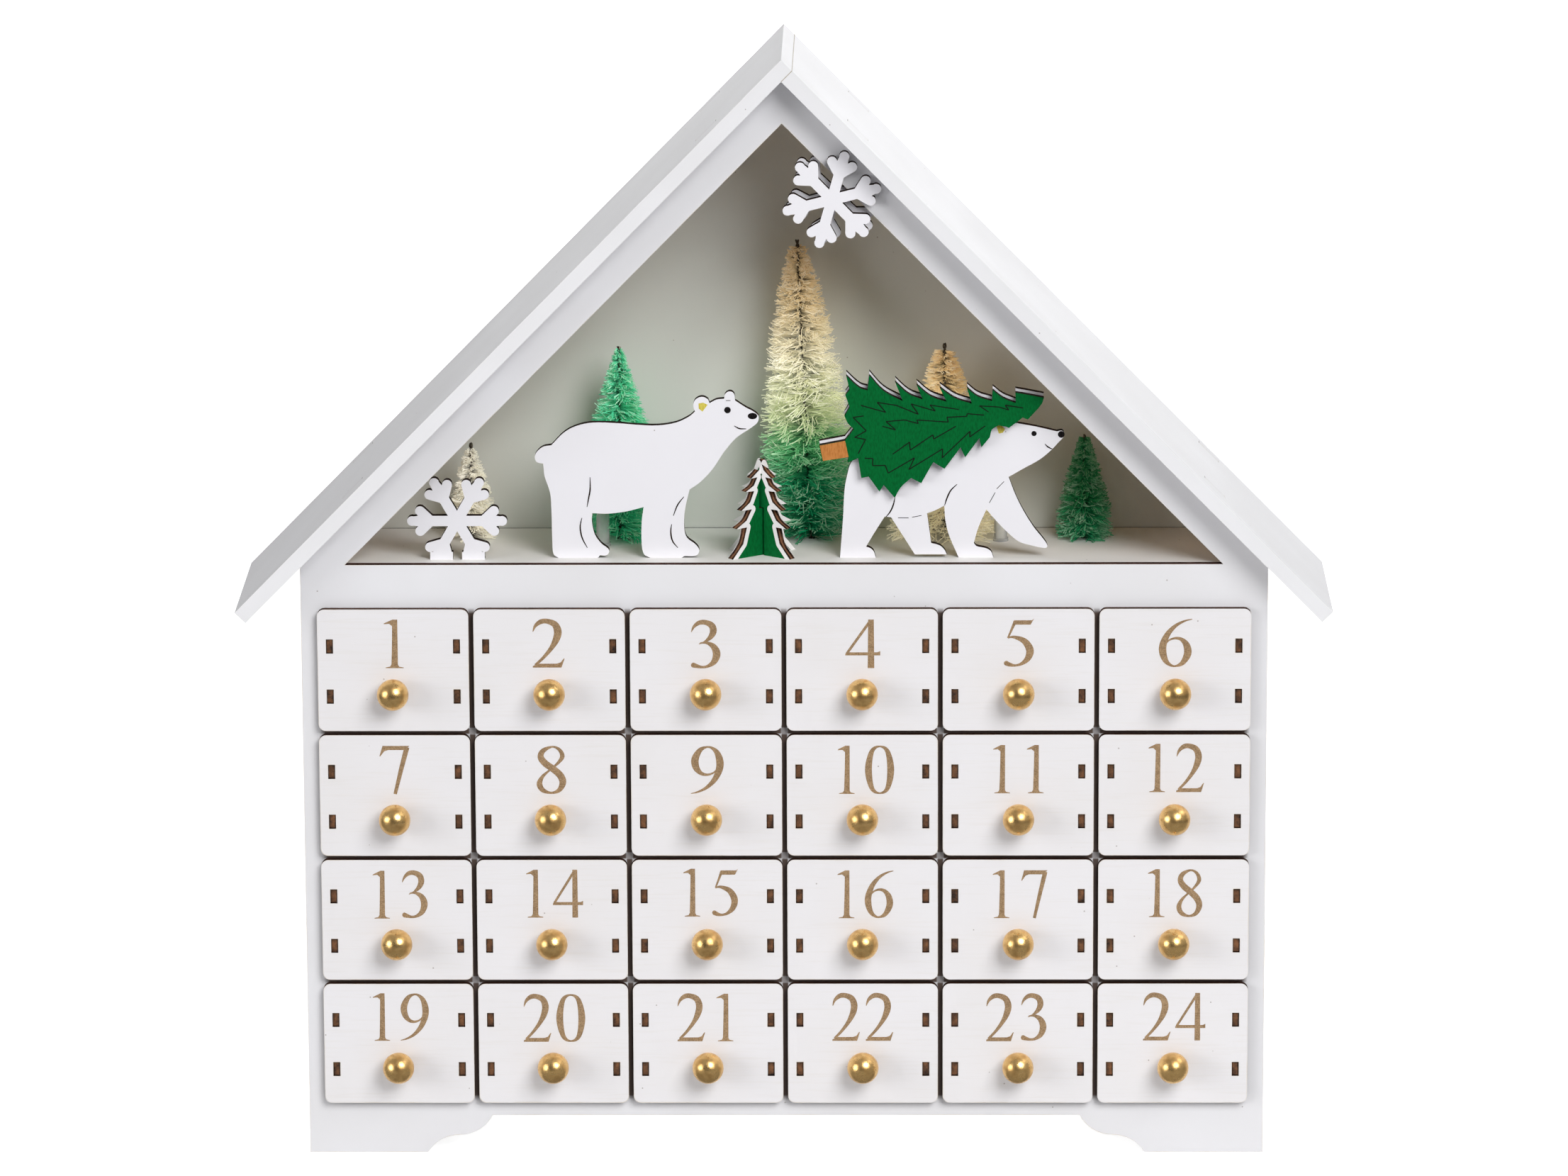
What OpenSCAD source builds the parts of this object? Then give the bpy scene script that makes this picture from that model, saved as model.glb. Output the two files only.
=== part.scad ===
/* [Drawer boxes] */
// Outer width of a drawer box
box_w = 43.8; // [36:0.2:60]
// Outer height of a drawer box
box_h = 34; // [28:0.5:50]
// Depth of a drawer box behind its front
box_d = 51; // [45:0.5:80]
// Thickness of the plywood in a drawer box
ply_t = 2; // [1.5:0.1:3]
// How far the box sits below the middle of its front
box_drop = 0.4; // [0:0.1:1]
// Height of a finger tab
tab_h = 4.5; // [3:0.1:6]
// Distance between the two tabs on one edge
tab_spread = 17; // [12:0.5:20]
// How far the tab ends stay below the face of the front
tab_recess = 0.7; // [0.2:0.1:1.2]

/* [Drawer fronts] */
// How far a front laps past its box on the left and on the right
front_lap_x = 3; // [2:0.1:8]
// How far a front laps past its box above and below
front_lap_z = 3.6; // [2.6:0.1:8]
// Thickness of a drawer front
front_t = 2.5; // [2:0.1:4]
// Corner radius of a drawer front
front_r = 2.4; // [0.5:0.1:6]
// Gap between neighbouring fronts, side by side
gap_x = 1.6; // [0.8:0.1:4]
// Gap between neighbouring fronts, one above the other
gap_z = 1.4; // [0.8:0.1:4]

/* [Knobs] */
// Diameter of the ball
knob_d = 10.4; // [8:0.1:13]
// Distance from the front's face to the middle of the ball
knob_stand = 5.4; // [4.6:0.1:8]
// Diameter of the neck under the ball
neck_d = 5; // [3.4:0.1:7]
// Diameter of the peg in the front
peg_d = 3; // [2:0.1:3.2]
// How far the knob sits below the middle of its front
knob_drop = 7; // [4:0.1:10]

/* [House] */
// Gap between the drawer boxes and the back panel
rear_gap = 3; // [0.5:0.5:10]
// Thickness of the front and back panels
panel_t = 3; // [2.5:0.1:5]
// Thickness of the side walls
side_t = 3; // [2.5:0.1:4]
// Thickness of the shelves, the bottom, the ceiling and the scene floor
shelf_t = 3; // [2.5:0.1:4]
// Thickness of the upright dividers
divider_t = 3; // [2:0.1:4]
// Width of the front panel beside the drawer fronts
side_margin = 5.5; // [5:0.1:12]
// Height of the front panel under the drawer fronts
bottom_rim = 5.1; // [4:0.1:12]
// Height of the cavity for the light leads
cavity_h = 7.1; // [6:0.1:15]
// Height of the eaves joint over the scene floor
eave_rise = 0.5; // [0.1:0.1:5]
// Width of the front panel around the window, square to the roof
window_rim = 10.9; // [6:0.1:16]

/* [Feet] */
// Height of the arch between the feet
foot_h = 12.9; // [8:0.1:25]
// Width of a foot on the ground
foot_w = 39.4; // [25:0.5:60]
// Width of the curve from the foot to the arch
ogee_w = 21.7; // [12:0.1:30]
// Height at which that curve runs level
ogee_h = 6.05; // [5.4:0.05:7]

/* [Roof] */
// Pitch of both roof boards, in degrees
roof_pitch = 45.5; // [40:0.5:50]
// Thickness of a roof board
roof_t = 5; // [3:0.1:8]
// Overhang of the eaves past the side walls
eave_out = 20.9; // [8:0.1:40]
// Overhang of the roof past the front panel
front_over = 10.6; // [4:0.1:20]
// Overhang of the roof past the back panel
rear_over = 4.7; // [2:0.1:12]
// Length of a panel's tab in the roof
roof_tab_l = 9.3; // [6:0.1:14]
// Distance from the ridge to the middle of the upper tab
upper_tab_s = 35.2; // [25:0.1:60]
// Distance from the eave's end to the middle of the lower tab
lower_tab_s = 55; // [45:0.1:80]

/* [Scene figures] */
// Thickness of the flat figures
figure_t = 2.8; // [1.5:0.1:3]
// Distance from the front panel to the bears
bear_y = 7; // [5:0.1:8]
// Length of the standing bear
bear_l = 73.5; // [60:0.5:76]
// Left end of the standing bear
bear_x = -81.6; // [-90:0.2:-80]
// Length of the walking bear, from the trunk's end to the nose
walker_l = 80.5; // [70:0.5:84]
// Left end of the walking bear's tree trunk
walker_x = 11.6; // [9:0.2:20]
// How far the bear's own tree shape stands above the green board on it
tree_rise = 0.9; // [0.3:0.1:2]
// Distance from a snowflake's middle to the end of an arm
flake_r = 16.46; // [12:0.02:17]
// Middle of the standing snowflake, from the window's left corner
flake_in = 36.7; // [34:0.1:40]
// Distance from the front panel to the standing snowflake
flake_y = 4.6; // [3:0.1:8]
// Middle of the hanging snowflake, sideways
hung_x = 16.2; // [12:0.2:20]
// Middle of the hanging snowflake, below the ridge
hung_drop = 40.1; // [38:0.1:44]
// Turn of the hanging snowflake, in degrees
hung_turn = 14; // [0:1:59]
// Height of the slotted tree
slot_tree_h = 32; // [24:0.5:40]
// Width of the slotted tree's boards
slot_tree_w = 25.4; // [20:0.2:30]
// Turn of each of its boards from the front panel's plane, in degrees
slot_tree_turn = 37; // [30:0.5:45]
// Middle of the slotted tree, sideways
slot_tree_x = -7.4; // [-9:0.1:-7]
// Distance from the front panel to the slotted tree's middle
slot_tree_y = 12.8; // [12.6:0.1:13.4]

/* [Brush trees] */
// Diameter of the twisted wire
wire_d = 1.8; // [1.2:0.1:2.2]
// Distance from the back panel to the trees' wires
brush_back = 15; // [14.9:0.1:16]
// Rise of a strand for each millimetre of its length
strand_rise = 0.3; // [0.1:0.05:0.6]
// Height of the mint tree
mint_h = 65; // [50:0.5:75]
// Base radius of the mint tree
mint_r = 13; // [9:0.1:14]
// Height of the ombre tree
ombre_h = 101; // [80:0.5:105]
// Base radius of the ombre tree
ombre_r = 14.5; // [10:0.1:14.8]
// Height of the tan tree
tan_h = 66; // [50:0.5:75]
// Base radius of the tan tree
tan_r = 14.5; // [10:0.1:14.8]
// Height of the small green tree
green_h = 35; // [26:0.5:42]
// Base radius of the small green tree
green_r = 9; // [6:0.1:11]
// Height of the small cream tree
cream_h = 32.5; // [24:0.5:40]
// Base radius of the small cream tree
cream_r = 8.4; // [6:0.1:11]

/* [Lights] */
// Diameter of a light
led_d = 4.4; // [4:0.1:5.2]
// Height of a light
led_h = 12; // [7:0.1:13]
// Diameter of a light's flange
led_flange_d = 5.2; // [5:0.1:6]
// Diameter of one insulated wire
lead_d = 1; // [0.8:0.1:1.1]

/* [Battery box] */
// Width of the switch's bay, beside the cells
switch_bay_w = 12.1; // [12:0.1:20]
// Room over and under the cells
cell_room = 1.05; // [0.5:0.05:4]
// Wall of the box
case_wall = 1.8; // [1.6:0.1:2.2]
// Thickness of the foam pad behind the box
pad_t = 1; // [0.5:0.1:2]
// Diameter of a cell
cell_d = 10.5; // [10:0.1:15]
// Length of a cell, with its nub
cell_l = 44.5; // [43:0.5:51]
// Thickness of the sliding door
door_t = 1.8; // [1.4:0.1:2]
// Travel of the switch
switch_travel = 3.5; // [2:0.1:4]

/* [Hidden] */
$fn = 48;
cols = 6;
rows = 4;
// Fits: a cut's overrun, glued faces inside a drawer, tabs in slots, sliding pieces
cut = 1;
glue = 0.05;
slot_fit = 0.15;
slide_fit = 0.3;
seat_fit = 0.1;

// Places of the drawers
front_w = box_w + 2 * front_lap_x;
front_h = box_h + 2 * front_lap_z;
pitch_x = front_w + gap_x;
pitch_z = front_h + gap_z;
bottom_front_z = foot_h + bottom_rim + front_h / 2;
function col_x(c) = (c - (cols - 1) / 2) * pitch_x;
function row_z(r) = bottom_front_z + (rows - 1 - r) * pitch_z;
box_mid = -box_drop;
shelf_top = box_mid - box_h / 2 - slide_fit;
hole_w = box_w + 4 * slide_fit;
hole_h = box_h + 3 * slide_fit;

// Levels and widths of the house
body_d = box_d + rear_gap + panel_t;
body_w = cols * pitch_x - gap_x + 2 * side_margin;
inner_w = body_w - 2 * side_t;
inner_y = panel_t;
inner_d = body_d - 2 * panel_t;
bottom_z = row_z(rows - 1) + shelf_top;
ceiling_z = row_z(0) + shelf_top + pitch_z - shelf_t;
cavity_z = ceiling_z + shelf_t;
floor_z = cavity_z + cavity_h + shelf_t;
wall_h = floor_z + eave_rise;
under_apex_z = wall_h + body_w / 2 * tan(roof_pitch);
apex_z = under_apex_z + roof_t / cos(roof_pitch);
window_apex_z = under_apex_z - window_rim / cos(roof_pitch);
window_half_w = (window_apex_z - floor_z) / tan(roof_pitch);
eave_x = body_w / 2 + eave_out;
slope_l = eave_x / cos(roof_pitch);

// Depth and height of the battery box round its cells
lip_t = 0.8;
lid_t = door_t + lip_t;
cell_gap = 0.3;
case_d = case_wall + cell_d + 2 * cell_gap + lid_t;
case_h = 2 * (case_wall + cell_room + cell_d) + cell_gap;

// The part is centred from the knobs to the switch, which stands out of the battery box
switch_out = 1.2;
front_reach = max(front_over, seat_fit + front_t + knob_stand + knob_d / 2);
rear_reach = max(body_d + rear_over, body_d + pad_t + case_d + switch_out);
face_y = (front_reach - rear_reach) / 2;

// Middle of the standing snowflake
flake_x = flake_in - window_half_w;

// Tabs of the panels in the roof, as distances down the slope
tab_mids = [upper_tab_s, slope_l - lower_tab_s];

// Steps of a smooth outline and of an arc
curve_steps = 4;
arc_steps = 8;

// Standing bear: sideways and up as shares of its length, and 1 for a corner
bear_shares = [
    [0.078, 0.017, 0], [0.1, 0, 1], [0.276, 0, 1], [0.287, 0.012, 1], [0.316, 0.012, 0],
    [0.327, 0.036, 0], [0.292, 0.067, 0], [0.264, 0.108, 0], [0.251, 0.167, 0], [0.253, 0.205, 1],
    [0.324, 0.203, 0], [0.405, 0.213, 0], [0.483, 0.233, 1], [0.474, 0.167, 0], [0.473, 0.067, 0],
    [0.483, 0.017, 0], [0.511, 0, 1], [0.652, 0, 1], [0.665, 0.008, 1], [0.716, 0.01, 0],
    [0.731, 0.034, 0], [0.713, 0.063, 0], [0.677, 0.092, 0], [0.665, 0.133, 0], [0.668, 0.217, 0],
    [0.689, 0.313, 1], [0.737, 0.347, 0], [0.794, 0.408, 0], [0.843, 0.483, 0], [0.9, 0.55, 0],
    [0.989, 0.613, 0], [1, 0.645, 0], [0.981, 0.667, 0], [0.94, 0.69, 0], [0.895, 0.72, 1],
    [0.891, 0.75, 0], [0.872, 0.762, 0], [0.851, 0.75, 0], [0.846, 0.728, 1], [0.812, 0.724, 0],
    [0.781, 0.708, 1], [0.772, 0.727, 0], [0.746, 0.737, 0], [0.718, 0.724, 0], [0.708, 0.697, 0],
    [0.716, 0.67, 1], [0.689, 0.647, 0], [0.632, 0.62, 0], [0.551, 0.607, 0], [0.454, 0.61, 0],
    [0.373, 0.617, 0], [0.259, 0.62, 0], [0.186, 0.605, 0], [0.13, 0.575, 0], [0.073, 0.517, 1],
    [0.032, 0.508, 0], [0.001, 0.475, 0], [0.004, 0.442, 0], [0.036, 0.432, 1], [0.041, 0.375, 0],
    [0.065, 0.3, 0], [0.07, 0.217, 0], [0.073, 0.067, 0]
];

// Walking bear without its tree, as shares of the walker's length
walker_shares = [
    [0.085, 0, 1], [0.231, 0, 1], [0.223, 0.026, 0], [0.21, 0.039, 0], [0.192, 0.046, 1],
    [0.221, 0.096, 0], [0.268, 0.172, 1], [0.294, 0.169, 1], [0.345, 0.087, 0], [0.391, 0.013, 1],
    [0.521, 0.013, 1], [0.513, 0.031, 0], [0.494, 0.05, 0], [0.458, 0.061, 1], [0.449, 0.127, 0],
    [0.441, 0.185, 1], [0.477, 0.199, 0], [0.511, 0.217, 1], [0.515, 0.162, 0], [0.528, 0.101, 0],
    [0.57, 0, 1], [0.712, 0, 1], [0.702, 0.026, 0], [0.681, 0.039, 0], [0.643, 0.048, 0],
    [0.632, 0.061, 1], [0.651, 0.127, 0], [0.683, 0.201, 1], [0.732, 0.144, 0], [0.774, 0.101, 0],
    [0.817, 0.066, 0], [0.868, 0.05, 0], [0.923, 0.039, 0], [0.933, 0.048, 0], [0.915, 0.079, 0],
    [0.877, 0.127, 0], [0.834, 0.197, 0], [0.8, 0.267, 0], [0.774, 0.337, 1], [0.834, 0.372, 0],
    [0.902, 0.411, 0], [0.949, 0.451, 0], [0.978, 0.483, 0], [0.994, 0.5, 0], [1, 0.516, 0],
    [0.991, 0.53, 0], [0.97, 0.527, 1], [0.885, 0.547, 0], [0.8, 0.563, 1], [0.77, 0.554, 1],
    [0.747, 0.564, 0], [0.719, 0.56, 0], [0.702, 0.542, 0], [0.604, 0.52, 0], [0.434, 0.503, 0],
    [0.221, 0.477, 0], [0.162, 0.424, 0], [0.132, 0.4, 0], [0.115, 0.346, 0], [0.104, 0.284, 0],
    [0.098, 0.171, 0]
];

// The tree that the walking bear carries, with its trunk, as shares of the walker's length
carried_shares = [
    [0.112, 0.767, 1], [0.126, 0.709, 1], [0.109, 0.685, 1], [0.126, 0.636, 1], [0.105, 0.599, 1],
    [0.119, 0.569, 0], [0.143, 0.545, 1], [0.106, 0.497, 1], [0.002, 0.477, 1], [0.015, 0.412, 1],
    [0.121, 0.429, 1], [0.117, 0.405, 1], [0.16, 0.424, 1], [0.173, 0.341, 1], [0.203, 0.347, 1],
    [0.247, 0.284, 1], [0.264, 0.312, 1], [0.309, 0.258, 1], [0.334, 0.302, 0], [0.376, 0.341, 1],
    [0.417, 0.319, 1], [0.466, 0.407, 1], [0.512, 0.379, 1], [0.577, 0.468, 1], [0.596, 0.427, 1],
    [0.654, 0.507, 1], [0.662, 0.468, 1], [0.696, 0.51, 1], [0.705, 0.542, 0], [0.732, 0.56, 1],
    [0.762, 0.554, 1], [0.774, 0.549, 1], [0.83, 0.592, 1], [0.851, 0.584, 1], [0.906, 0.647, 0],
    [0.916, 0.674, 1], [0.86, 0.685, 0], [0.8, 0.696, 1], [0.802, 0.652, 1], [0.749, 0.674, 0],
    [0.708, 0.706, 1], [0.705, 0.661, 1], [0.647, 0.68, 0], [0.603, 0.715, 1], [0.623, 0.65, 1],
    [0.553, 0.674, 0], [0.492, 0.717, 1], [0.521, 0.658, 1], [0.455, 0.682, 0], [0.398, 0.729, 1],
    [0.423, 0.668, 1], [0.366, 0.691, 0], [0.311, 0.741, 1], [0.342, 0.661, 1], [0.264, 0.704, 0],
    [0.206, 0.768, 1], [0.199, 0.706, 1], [0.166, 0.717, 0]
];

// Right half of a slotted tree's board: shares of the half width and of the height
slot_tree_shares = [
    [0.02, 1, 0], [0.06, 0.985, 0], [0.16, 0.895, 0], [0.4, 0.822, 1], [0.21, 0.826, 1],
    [0.32, 0.745, 0], [0.58, 0.69, 1], [0.315, 0.686, 1], [0.44, 0.575, 0], [0.72, 0.498, 1],
    [0.39, 0.498, 1], [0.56, 0.388, 0], [0.88, 0.314, 1], [0.55, 0.317, 1], [0.67, 0.148, 0],
    [1, 0, 1]
];

// Snowflake, as shares of its arm's length
flake_half_share = 0.106;
flake_fork_share = 0.49;
flake_lobe_share = 0.101;
flake_tip_share = 0.899;
flake_side_u_share = 0.738;
flake_side_v_share = 0.205;
flake_notch_u_share = 0.78;
flake_notch_v_share = 0.108;
flake_cut_share = 0.793;
flake_shoe_u_share = 0.09;
flake_shoe_w_share = 0.456;
flake_shoe_h_share = 0.16;
flake_tip_turn = 110;
flake_side_turns = [-30, 140];
rear_flake_turn = 2;
rear_flake_x = 0.9;
rear_flake_up = 0.7;

// Brush trees: sides of the wire, height of a strand's root, bare wire at the top, seat in the floor
wire_sides = 8;
root_h = 0.9;
bare_top = 2.6;
first_strand_z = 3.3;
brush_y = body_d - panel_t - brush_back;
wire_seat = 2.4;
wire_fit = 0.25;
tip_strand_share = 0.16;
// The lowest strands part in this direction, for the light and the slotted tree
part_dir = 243;
ombre_lean = -2.4;
mint_from_bear = 26.8;
tan_from_walker = 41.4;
cream_from_flake = 3.2;
mint_x = bear_x + mint_from_bear;
ombre_x = 8.9;
tan_x = walker_x + tan_from_walker;
green_x = 99.4;
cream_x = flake_x + cream_from_flake;

// Lights: places, flange and legs
led_left_x = -60.2;
led_left_ahead = 10.5;
led_right_x = 71.6;
led_right_ahead = 4;
led_places = [[led_left_x, brush_y - led_left_ahead], [led_right_x, brush_y - led_right_ahead]];
led_flange_h = 1;
leg_d = 0.5;
leg_pitch = 2.54;
leg_fit = 0.2;
leg_down = 2.7;
lead_gap = 0.3;
lead_rear = 1.2;

// Battery box: door groove, bays, switch and lead hole
groove = 0.8;
door_fit = 0.2;
spring_room = 6;
bay_l = cell_l + spring_room;
door_l = case_wall + bay_l;
cell_nub_l = 1;
cell_nub_d = 3.8;
contact_t = 0.4;
spring_d = 7;
spring_wire_d = 2;
contact_w = 8;
contact_h = 9;
switch_w = 3;
switch_h = 3;
switch_foot = 1.2;
switch_foot_t = 1;
lead_hole_d = 6.2;
case_w = door_l + switch_bay_w + 2 * case_wall;
case_x = -case_w / 2;
case_z = cavity_z + cavity_h / 2 - case_h / 2;
lead_z = cavity_z + cavity_h / 2;
switch_bay_x = case_x + door_l + case_wall;
lead_x = switch_bay_x + switch_bay_w / 2;
case_y = body_d + pad_t;
pull_d = 1;
pull_w = 6;

function drawer_name(n) = str("drawer_", n < 10 ? "0" : "", n);

// Smooth closed outline through points that each hold a 1 where they are a corner
function flat(p) = [p[0], p[1]];
function along(v, l) = v / norm(v) * l;
function between(a, b, ta, tb, t) =
    a * (2 * t * t * t - 3 * t * t + 1) + ta * (t * t * t - 2 * t * t + t)
    + b * (3 * t * t - 2 * t * t * t) + tb * (t * t * t - t * t);
function outline(p, size) = [
    for (i = [0:len(p) - 1])
    let (n = len(p))
    let (before = flat(p[(i + n - 1) % n]), a = flat(p[i]), b = flat(p[(i + 1) % n]))
    let (after = flat(p[(i + 2) % n]), l = norm(b - a))
    let (start_corner = p[i][2] == 1, end_corner = p[(i + 1) % n][2] == 1)
    let (ta = start_corner ? b - a : along(b - before, l), tb = end_corner ? b - a : along(after - a, l))
    let (steps = start_corner && end_corner ? 1 : curve_steps)
    for (k = [0:steps - 1])
    size * between(a, b, ta, tb, k / steps)
];

// Arc about a centre, from one angle to another
function arc(c, r, from, to, steps = arc_steps) = [
    for (k = [0:steps])
    let (a = from + (to - from) * k / steps)
    c + r * [cos(a), sin(a)]
];

// Everything is drawn from the front panel's face and then centred
module from_face(y) {
    translate([0, face_y + y, 0]) children();
}

// An outline in X and Z becomes a board whose front face lies at y
module board(y, t) {
    from_face(y + t) rotate([90, 0, 0]) linear_extrude(t) children();
}

// Foot curve on the right: two arcs that meet level
function ogee_r(w, h) = (w * w + h * h) / (2 * h);
function ogee() =
    let (x0 = body_w / 2 - foot_w, w = ogee_w / 2)
    let (low_r = ogee_r(w, ogee_h), high_h = foot_h - ogee_h, high_r = ogee_r(w, high_h))
    let (low_a = asin(w / low_r), high_a = asin(w / high_r))
    concat(
        arc([x0 - w, ogee_h - low_r], low_r, 90 - low_a, 90),
        arc([x0 - w, ogee_h + high_r], high_r, -90, -90 - high_a)
    );

// Points on the roof's right slope: distance down the slope and height over its underside
function slope_point(s, up) =
    [s * cos(roof_pitch) + (up - roof_t) * sin(roof_pitch),
    apex_z - s * sin(roof_pitch) + (up - roof_t) * cos(roof_pitch)];
function tab_points() = [
    for (m = tab_mids)
    for (p = [[-1, 0], [-1, 1], [1, 1], [1, 0]])
    slope_point(m + p[0] * roof_tab_l / 2, p[1] * roof_t)
];
function mirrored(p) = [
    for (i = [len(p) - 1:-1:0])
    [for (k = [0:len(p[i]) - 1]) k == 0 ? -p[i][0] : p[i][k]]
];

// House outline with feet, and with the tabs that pass through the roof
function house_right() = concat(
    [[0, under_apex_z]], tab_points(), [[body_w / 2, wall_h], [body_w / 2, 0]], ogee()
);
function house() = concat(house_right(), mirrored(house_right()));

module front_panel() {
    color("white") board(0, panel_t) difference() {
        polygon(house());
        polygon([[-window_half_w, floor_z], [window_half_w, floor_z], [0, window_apex_z]]);
        for (c = [0:cols - 1])
            for (r = [0:rows - 1])
                translate([col_x(c) - hole_w / 2, row_z(r) + shelf_top])
                    square([hole_w, hole_h]);
    }
}

module back_panel() {
    color("whitesmoke") difference() {
        board(body_d - panel_t, panel_t) polygon(house());
        lead_hole(body_d - panel_t, panel_t);
    }
}

// Hole for the light leads through whatever lies between y and y + t
module lead_hole(y, t) {
    from_face(y + t + cut) translate([lead_x, 0, lead_z])
        rotate([90, 0, 0]) cylinder(h = t + 2 * cut, d = lead_hole_d);
}

function under_z(x) = wall_h + (body_w / 2 - x) * tan(roof_pitch);

module side_wall(side) {
    x0 = body_w / 2 - side_t;
    color("white") board(inner_y, inner_d) scale([side, 1])
        polygon([[x0, 0], [body_w / 2, 0], [body_w / 2, wall_h], [x0, under_z(x0)]]);
}
module side_wall_left() { side_wall(-1); }
module side_wall_right() { side_wall(1); }

// A level sheet between the side walls, given by its underside
module level_sheet(z) {
    from_face(inner_y) translate([-inner_w / 2, 0, z]) cube([inner_w, inner_d, shelf_t]);
}

module bottom_panel() {
    color("white") level_sheet(bottom_z - shelf_t);
}

module cell_ceiling() {
    color("white") level_sheet(ceiling_z);
}

// Shelf under row r, slotted from the back for the dividers
module shelf(r) {
    z = row_z(r) + shelf_top - shelf_t;
    slot_w = divider_t + 2 * slot_fit;
    color("white") difference() {
        level_sheet(z);
        for (c = [1:cols - 1])
            from_face(inner_y + inner_d / 2 - slot_fit)
                translate([col_x(c) - pitch_x / 2 - slot_w / 2, 0, z - cut])
                cube([slot_w, inner_d / 2 + slot_fit + cut, shelf_t + 2 * cut]);
    }
}
module shelf_1() { shelf(0); }
module shelf_2() { shelf(1); }
module shelf_3() { shelf(2); }

// Five upright dividers, slotted from the front for the shelves
module dividers() {
    slot_h = shelf_t + 2 * slot_fit;
    color("white") for (c = [1:cols - 1])
        difference() {
            from_face(inner_y) translate([col_x(c) - pitch_x / 2 - divider_t / 2, 0, bottom_z])
                cube([divider_t, inner_d, ceiling_z - bottom_z]);
            for (r = [0:rows - 2])
                from_face(inner_y - cut)
                    translate([col_x(c) - pitch_x / 2 - divider_t / 2 - cut, 0,
                        row_z(r) + shelf_top - shelf_t - slot_fit])
                    cube([divider_t + 2 * cut, inner_d / 2 + slot_fit + cut, slot_h]);
        }
}

brush_places = [mint_x, ombre_x, tan_x, green_x, cream_x];

module scene_floor() {
    color("white") difference() {
        level_sheet(floor_z - shelf_t);
        for (x = brush_places)
            from_face(brush_y) translate([x, 0, floor_z - shelf_t - cut])
                cylinder(h = shelf_t + 2 * cut, d = wire_d + 2 * wire_fit);
        for (p = led_places)
            for (side = [-1, 1])
                from_face(p[1]) translate([p[0] + side * leg_pitch / 2, 0, floor_z - shelf_t - cut])
                    cylinder(h = shelf_t + 2 * cut, d = leg_d + 2 * leg_fit, $fn = 24);
    }
}

// Slots in the right roof board for the tabs of both panels
module roof_slots() {
    l = roof_tab_l + 2 * slot_fit;
    for (m = tab_mids)
        for (y = [0, body_d - panel_t])
            from_face(y - slot_fit) translate([0, 0, apex_z]) rotate([0, roof_pitch, 0])
                translate([m - l / 2, 0, -roof_t - cut])
                cube([l, panel_t + 2 * slot_fit, roof_t + 2 * cut]);
}

// Where the left board's underside meets the right board's upper face
function ridge_joint() = [roof_t / (2 * sin(roof_pitch)), apex_z - roof_t / (2 * cos(roof_pitch))];

module roof_left() {
    end = slope_point(slope_l, roof_t);
    low = slope_point(slope_l, 0);
    color("white") difference() {
        board(-front_over, front_over + body_d + rear_over)
            polygon([[0, apex_z], ridge_joint(), [-low[0], low[1]], [-end[0], end[1]]]);
        mirror([1, 0, 0]) roof_slots();
    }
}

module roof_right() {
    color("white") difference() {
        board(-front_over, front_over + body_d + rear_over)
            polygon([ridge_joint(), slope_point(slope_l, roof_t), slope_point(slope_l, 0), [0, under_apex_z]]);
        roof_slots();
    }
}

// Pieces of one drawer, about the middle of its front with the front's back at y = 0
module drawer_front() {
    slot_h = tab_h + 2 * slot_fit;
    difference() {
        rotate([90, 0, 0]) linear_extrude(front_t) rounded_front();
        for (side = [-1, 1])
            for (up = [-1, 1])
                translate([side * (box_w - ply_t) / 2, -front_t / 2, box_mid + up * tab_spread / 2])
                    cube([ply_t + 2 * slot_fit, front_t + 2 * cut, slot_h], center = true);
        translate([0, cut, -knob_drop]) rotate([90, 0, 0])
            cylinder(h = front_t + 2 * cut, d = peg_d + 2 * slot_fit);
    }
}

module rounded_front() {
    x = front_w / 2 - front_r;
    z = front_h / 2 - front_r;
    polygon(concat(
        arc([x, z], front_r, 0, 90), arc([-x, z], front_r, 90, 180),
        arc([-x, -z], front_r, 180, 270), arc([x, -z], front_r, 270, 360)
    ));
}

module drawer_side(side) {
    x = side > 0 ? box_w / 2 - ply_t : -box_w / 2;
    difference() {
        union() {
            translate([x, glue, box_mid - box_h / 2]) cube([ply_t, box_d - glue, box_h]);
            for (up = [-1, 1])
                translate([x, tab_recess - front_t, box_mid + up * tab_spread / 2 - tab_h / 2])
                    cube([ply_t, front_t - tab_recess + ply_t, tab_h]);
        }
        for (up = [-1, 1])
            translate([x - cut, box_d - 2 * ply_t - slot_fit,
                box_mid + up * tab_spread / 2 - tab_h / 2 - slot_fit])
                cube([ply_t + 2 * cut, ply_t + 2 * slot_fit, tab_h + 2 * slot_fit]);
    }
}

module drawer_back() {
    w = box_w - 2 * ply_t - 2 * glue;
    translate([-w / 2, box_d - 2 * ply_t, box_mid - box_h / 2]) cube([w, ply_t, box_h]);
    for (up = [-1, 1])
        translate([-box_w / 2, box_d - 2 * ply_t, box_mid + up * tab_spread / 2 - tab_h / 2])
            cube([box_w, ply_t, tab_h]);
}

module drawer_bottom() {
    w = box_w - 2 * ply_t - 2 * glue;
    translate([-w / 2, glue, box_mid - box_h / 2]) cube([w, box_d - 2 * ply_t - 2 * glue, ply_t]);
}

module drawer_knob() {
    translate([0, 0, -knob_drop]) {
        translate([0, -front_t - knob_stand, 0]) sphere(d = knob_d);
        translate([0, -front_t - glue, 0]) rotate([90, 0, 0]) cylinder(h = knob_stand - glue, d = neck_d);
        translate([0, -glue, 0]) rotate([90, 0, 0]) cylinder(h = front_t + knob_stand - glue, d = peg_d);
    }
}

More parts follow.
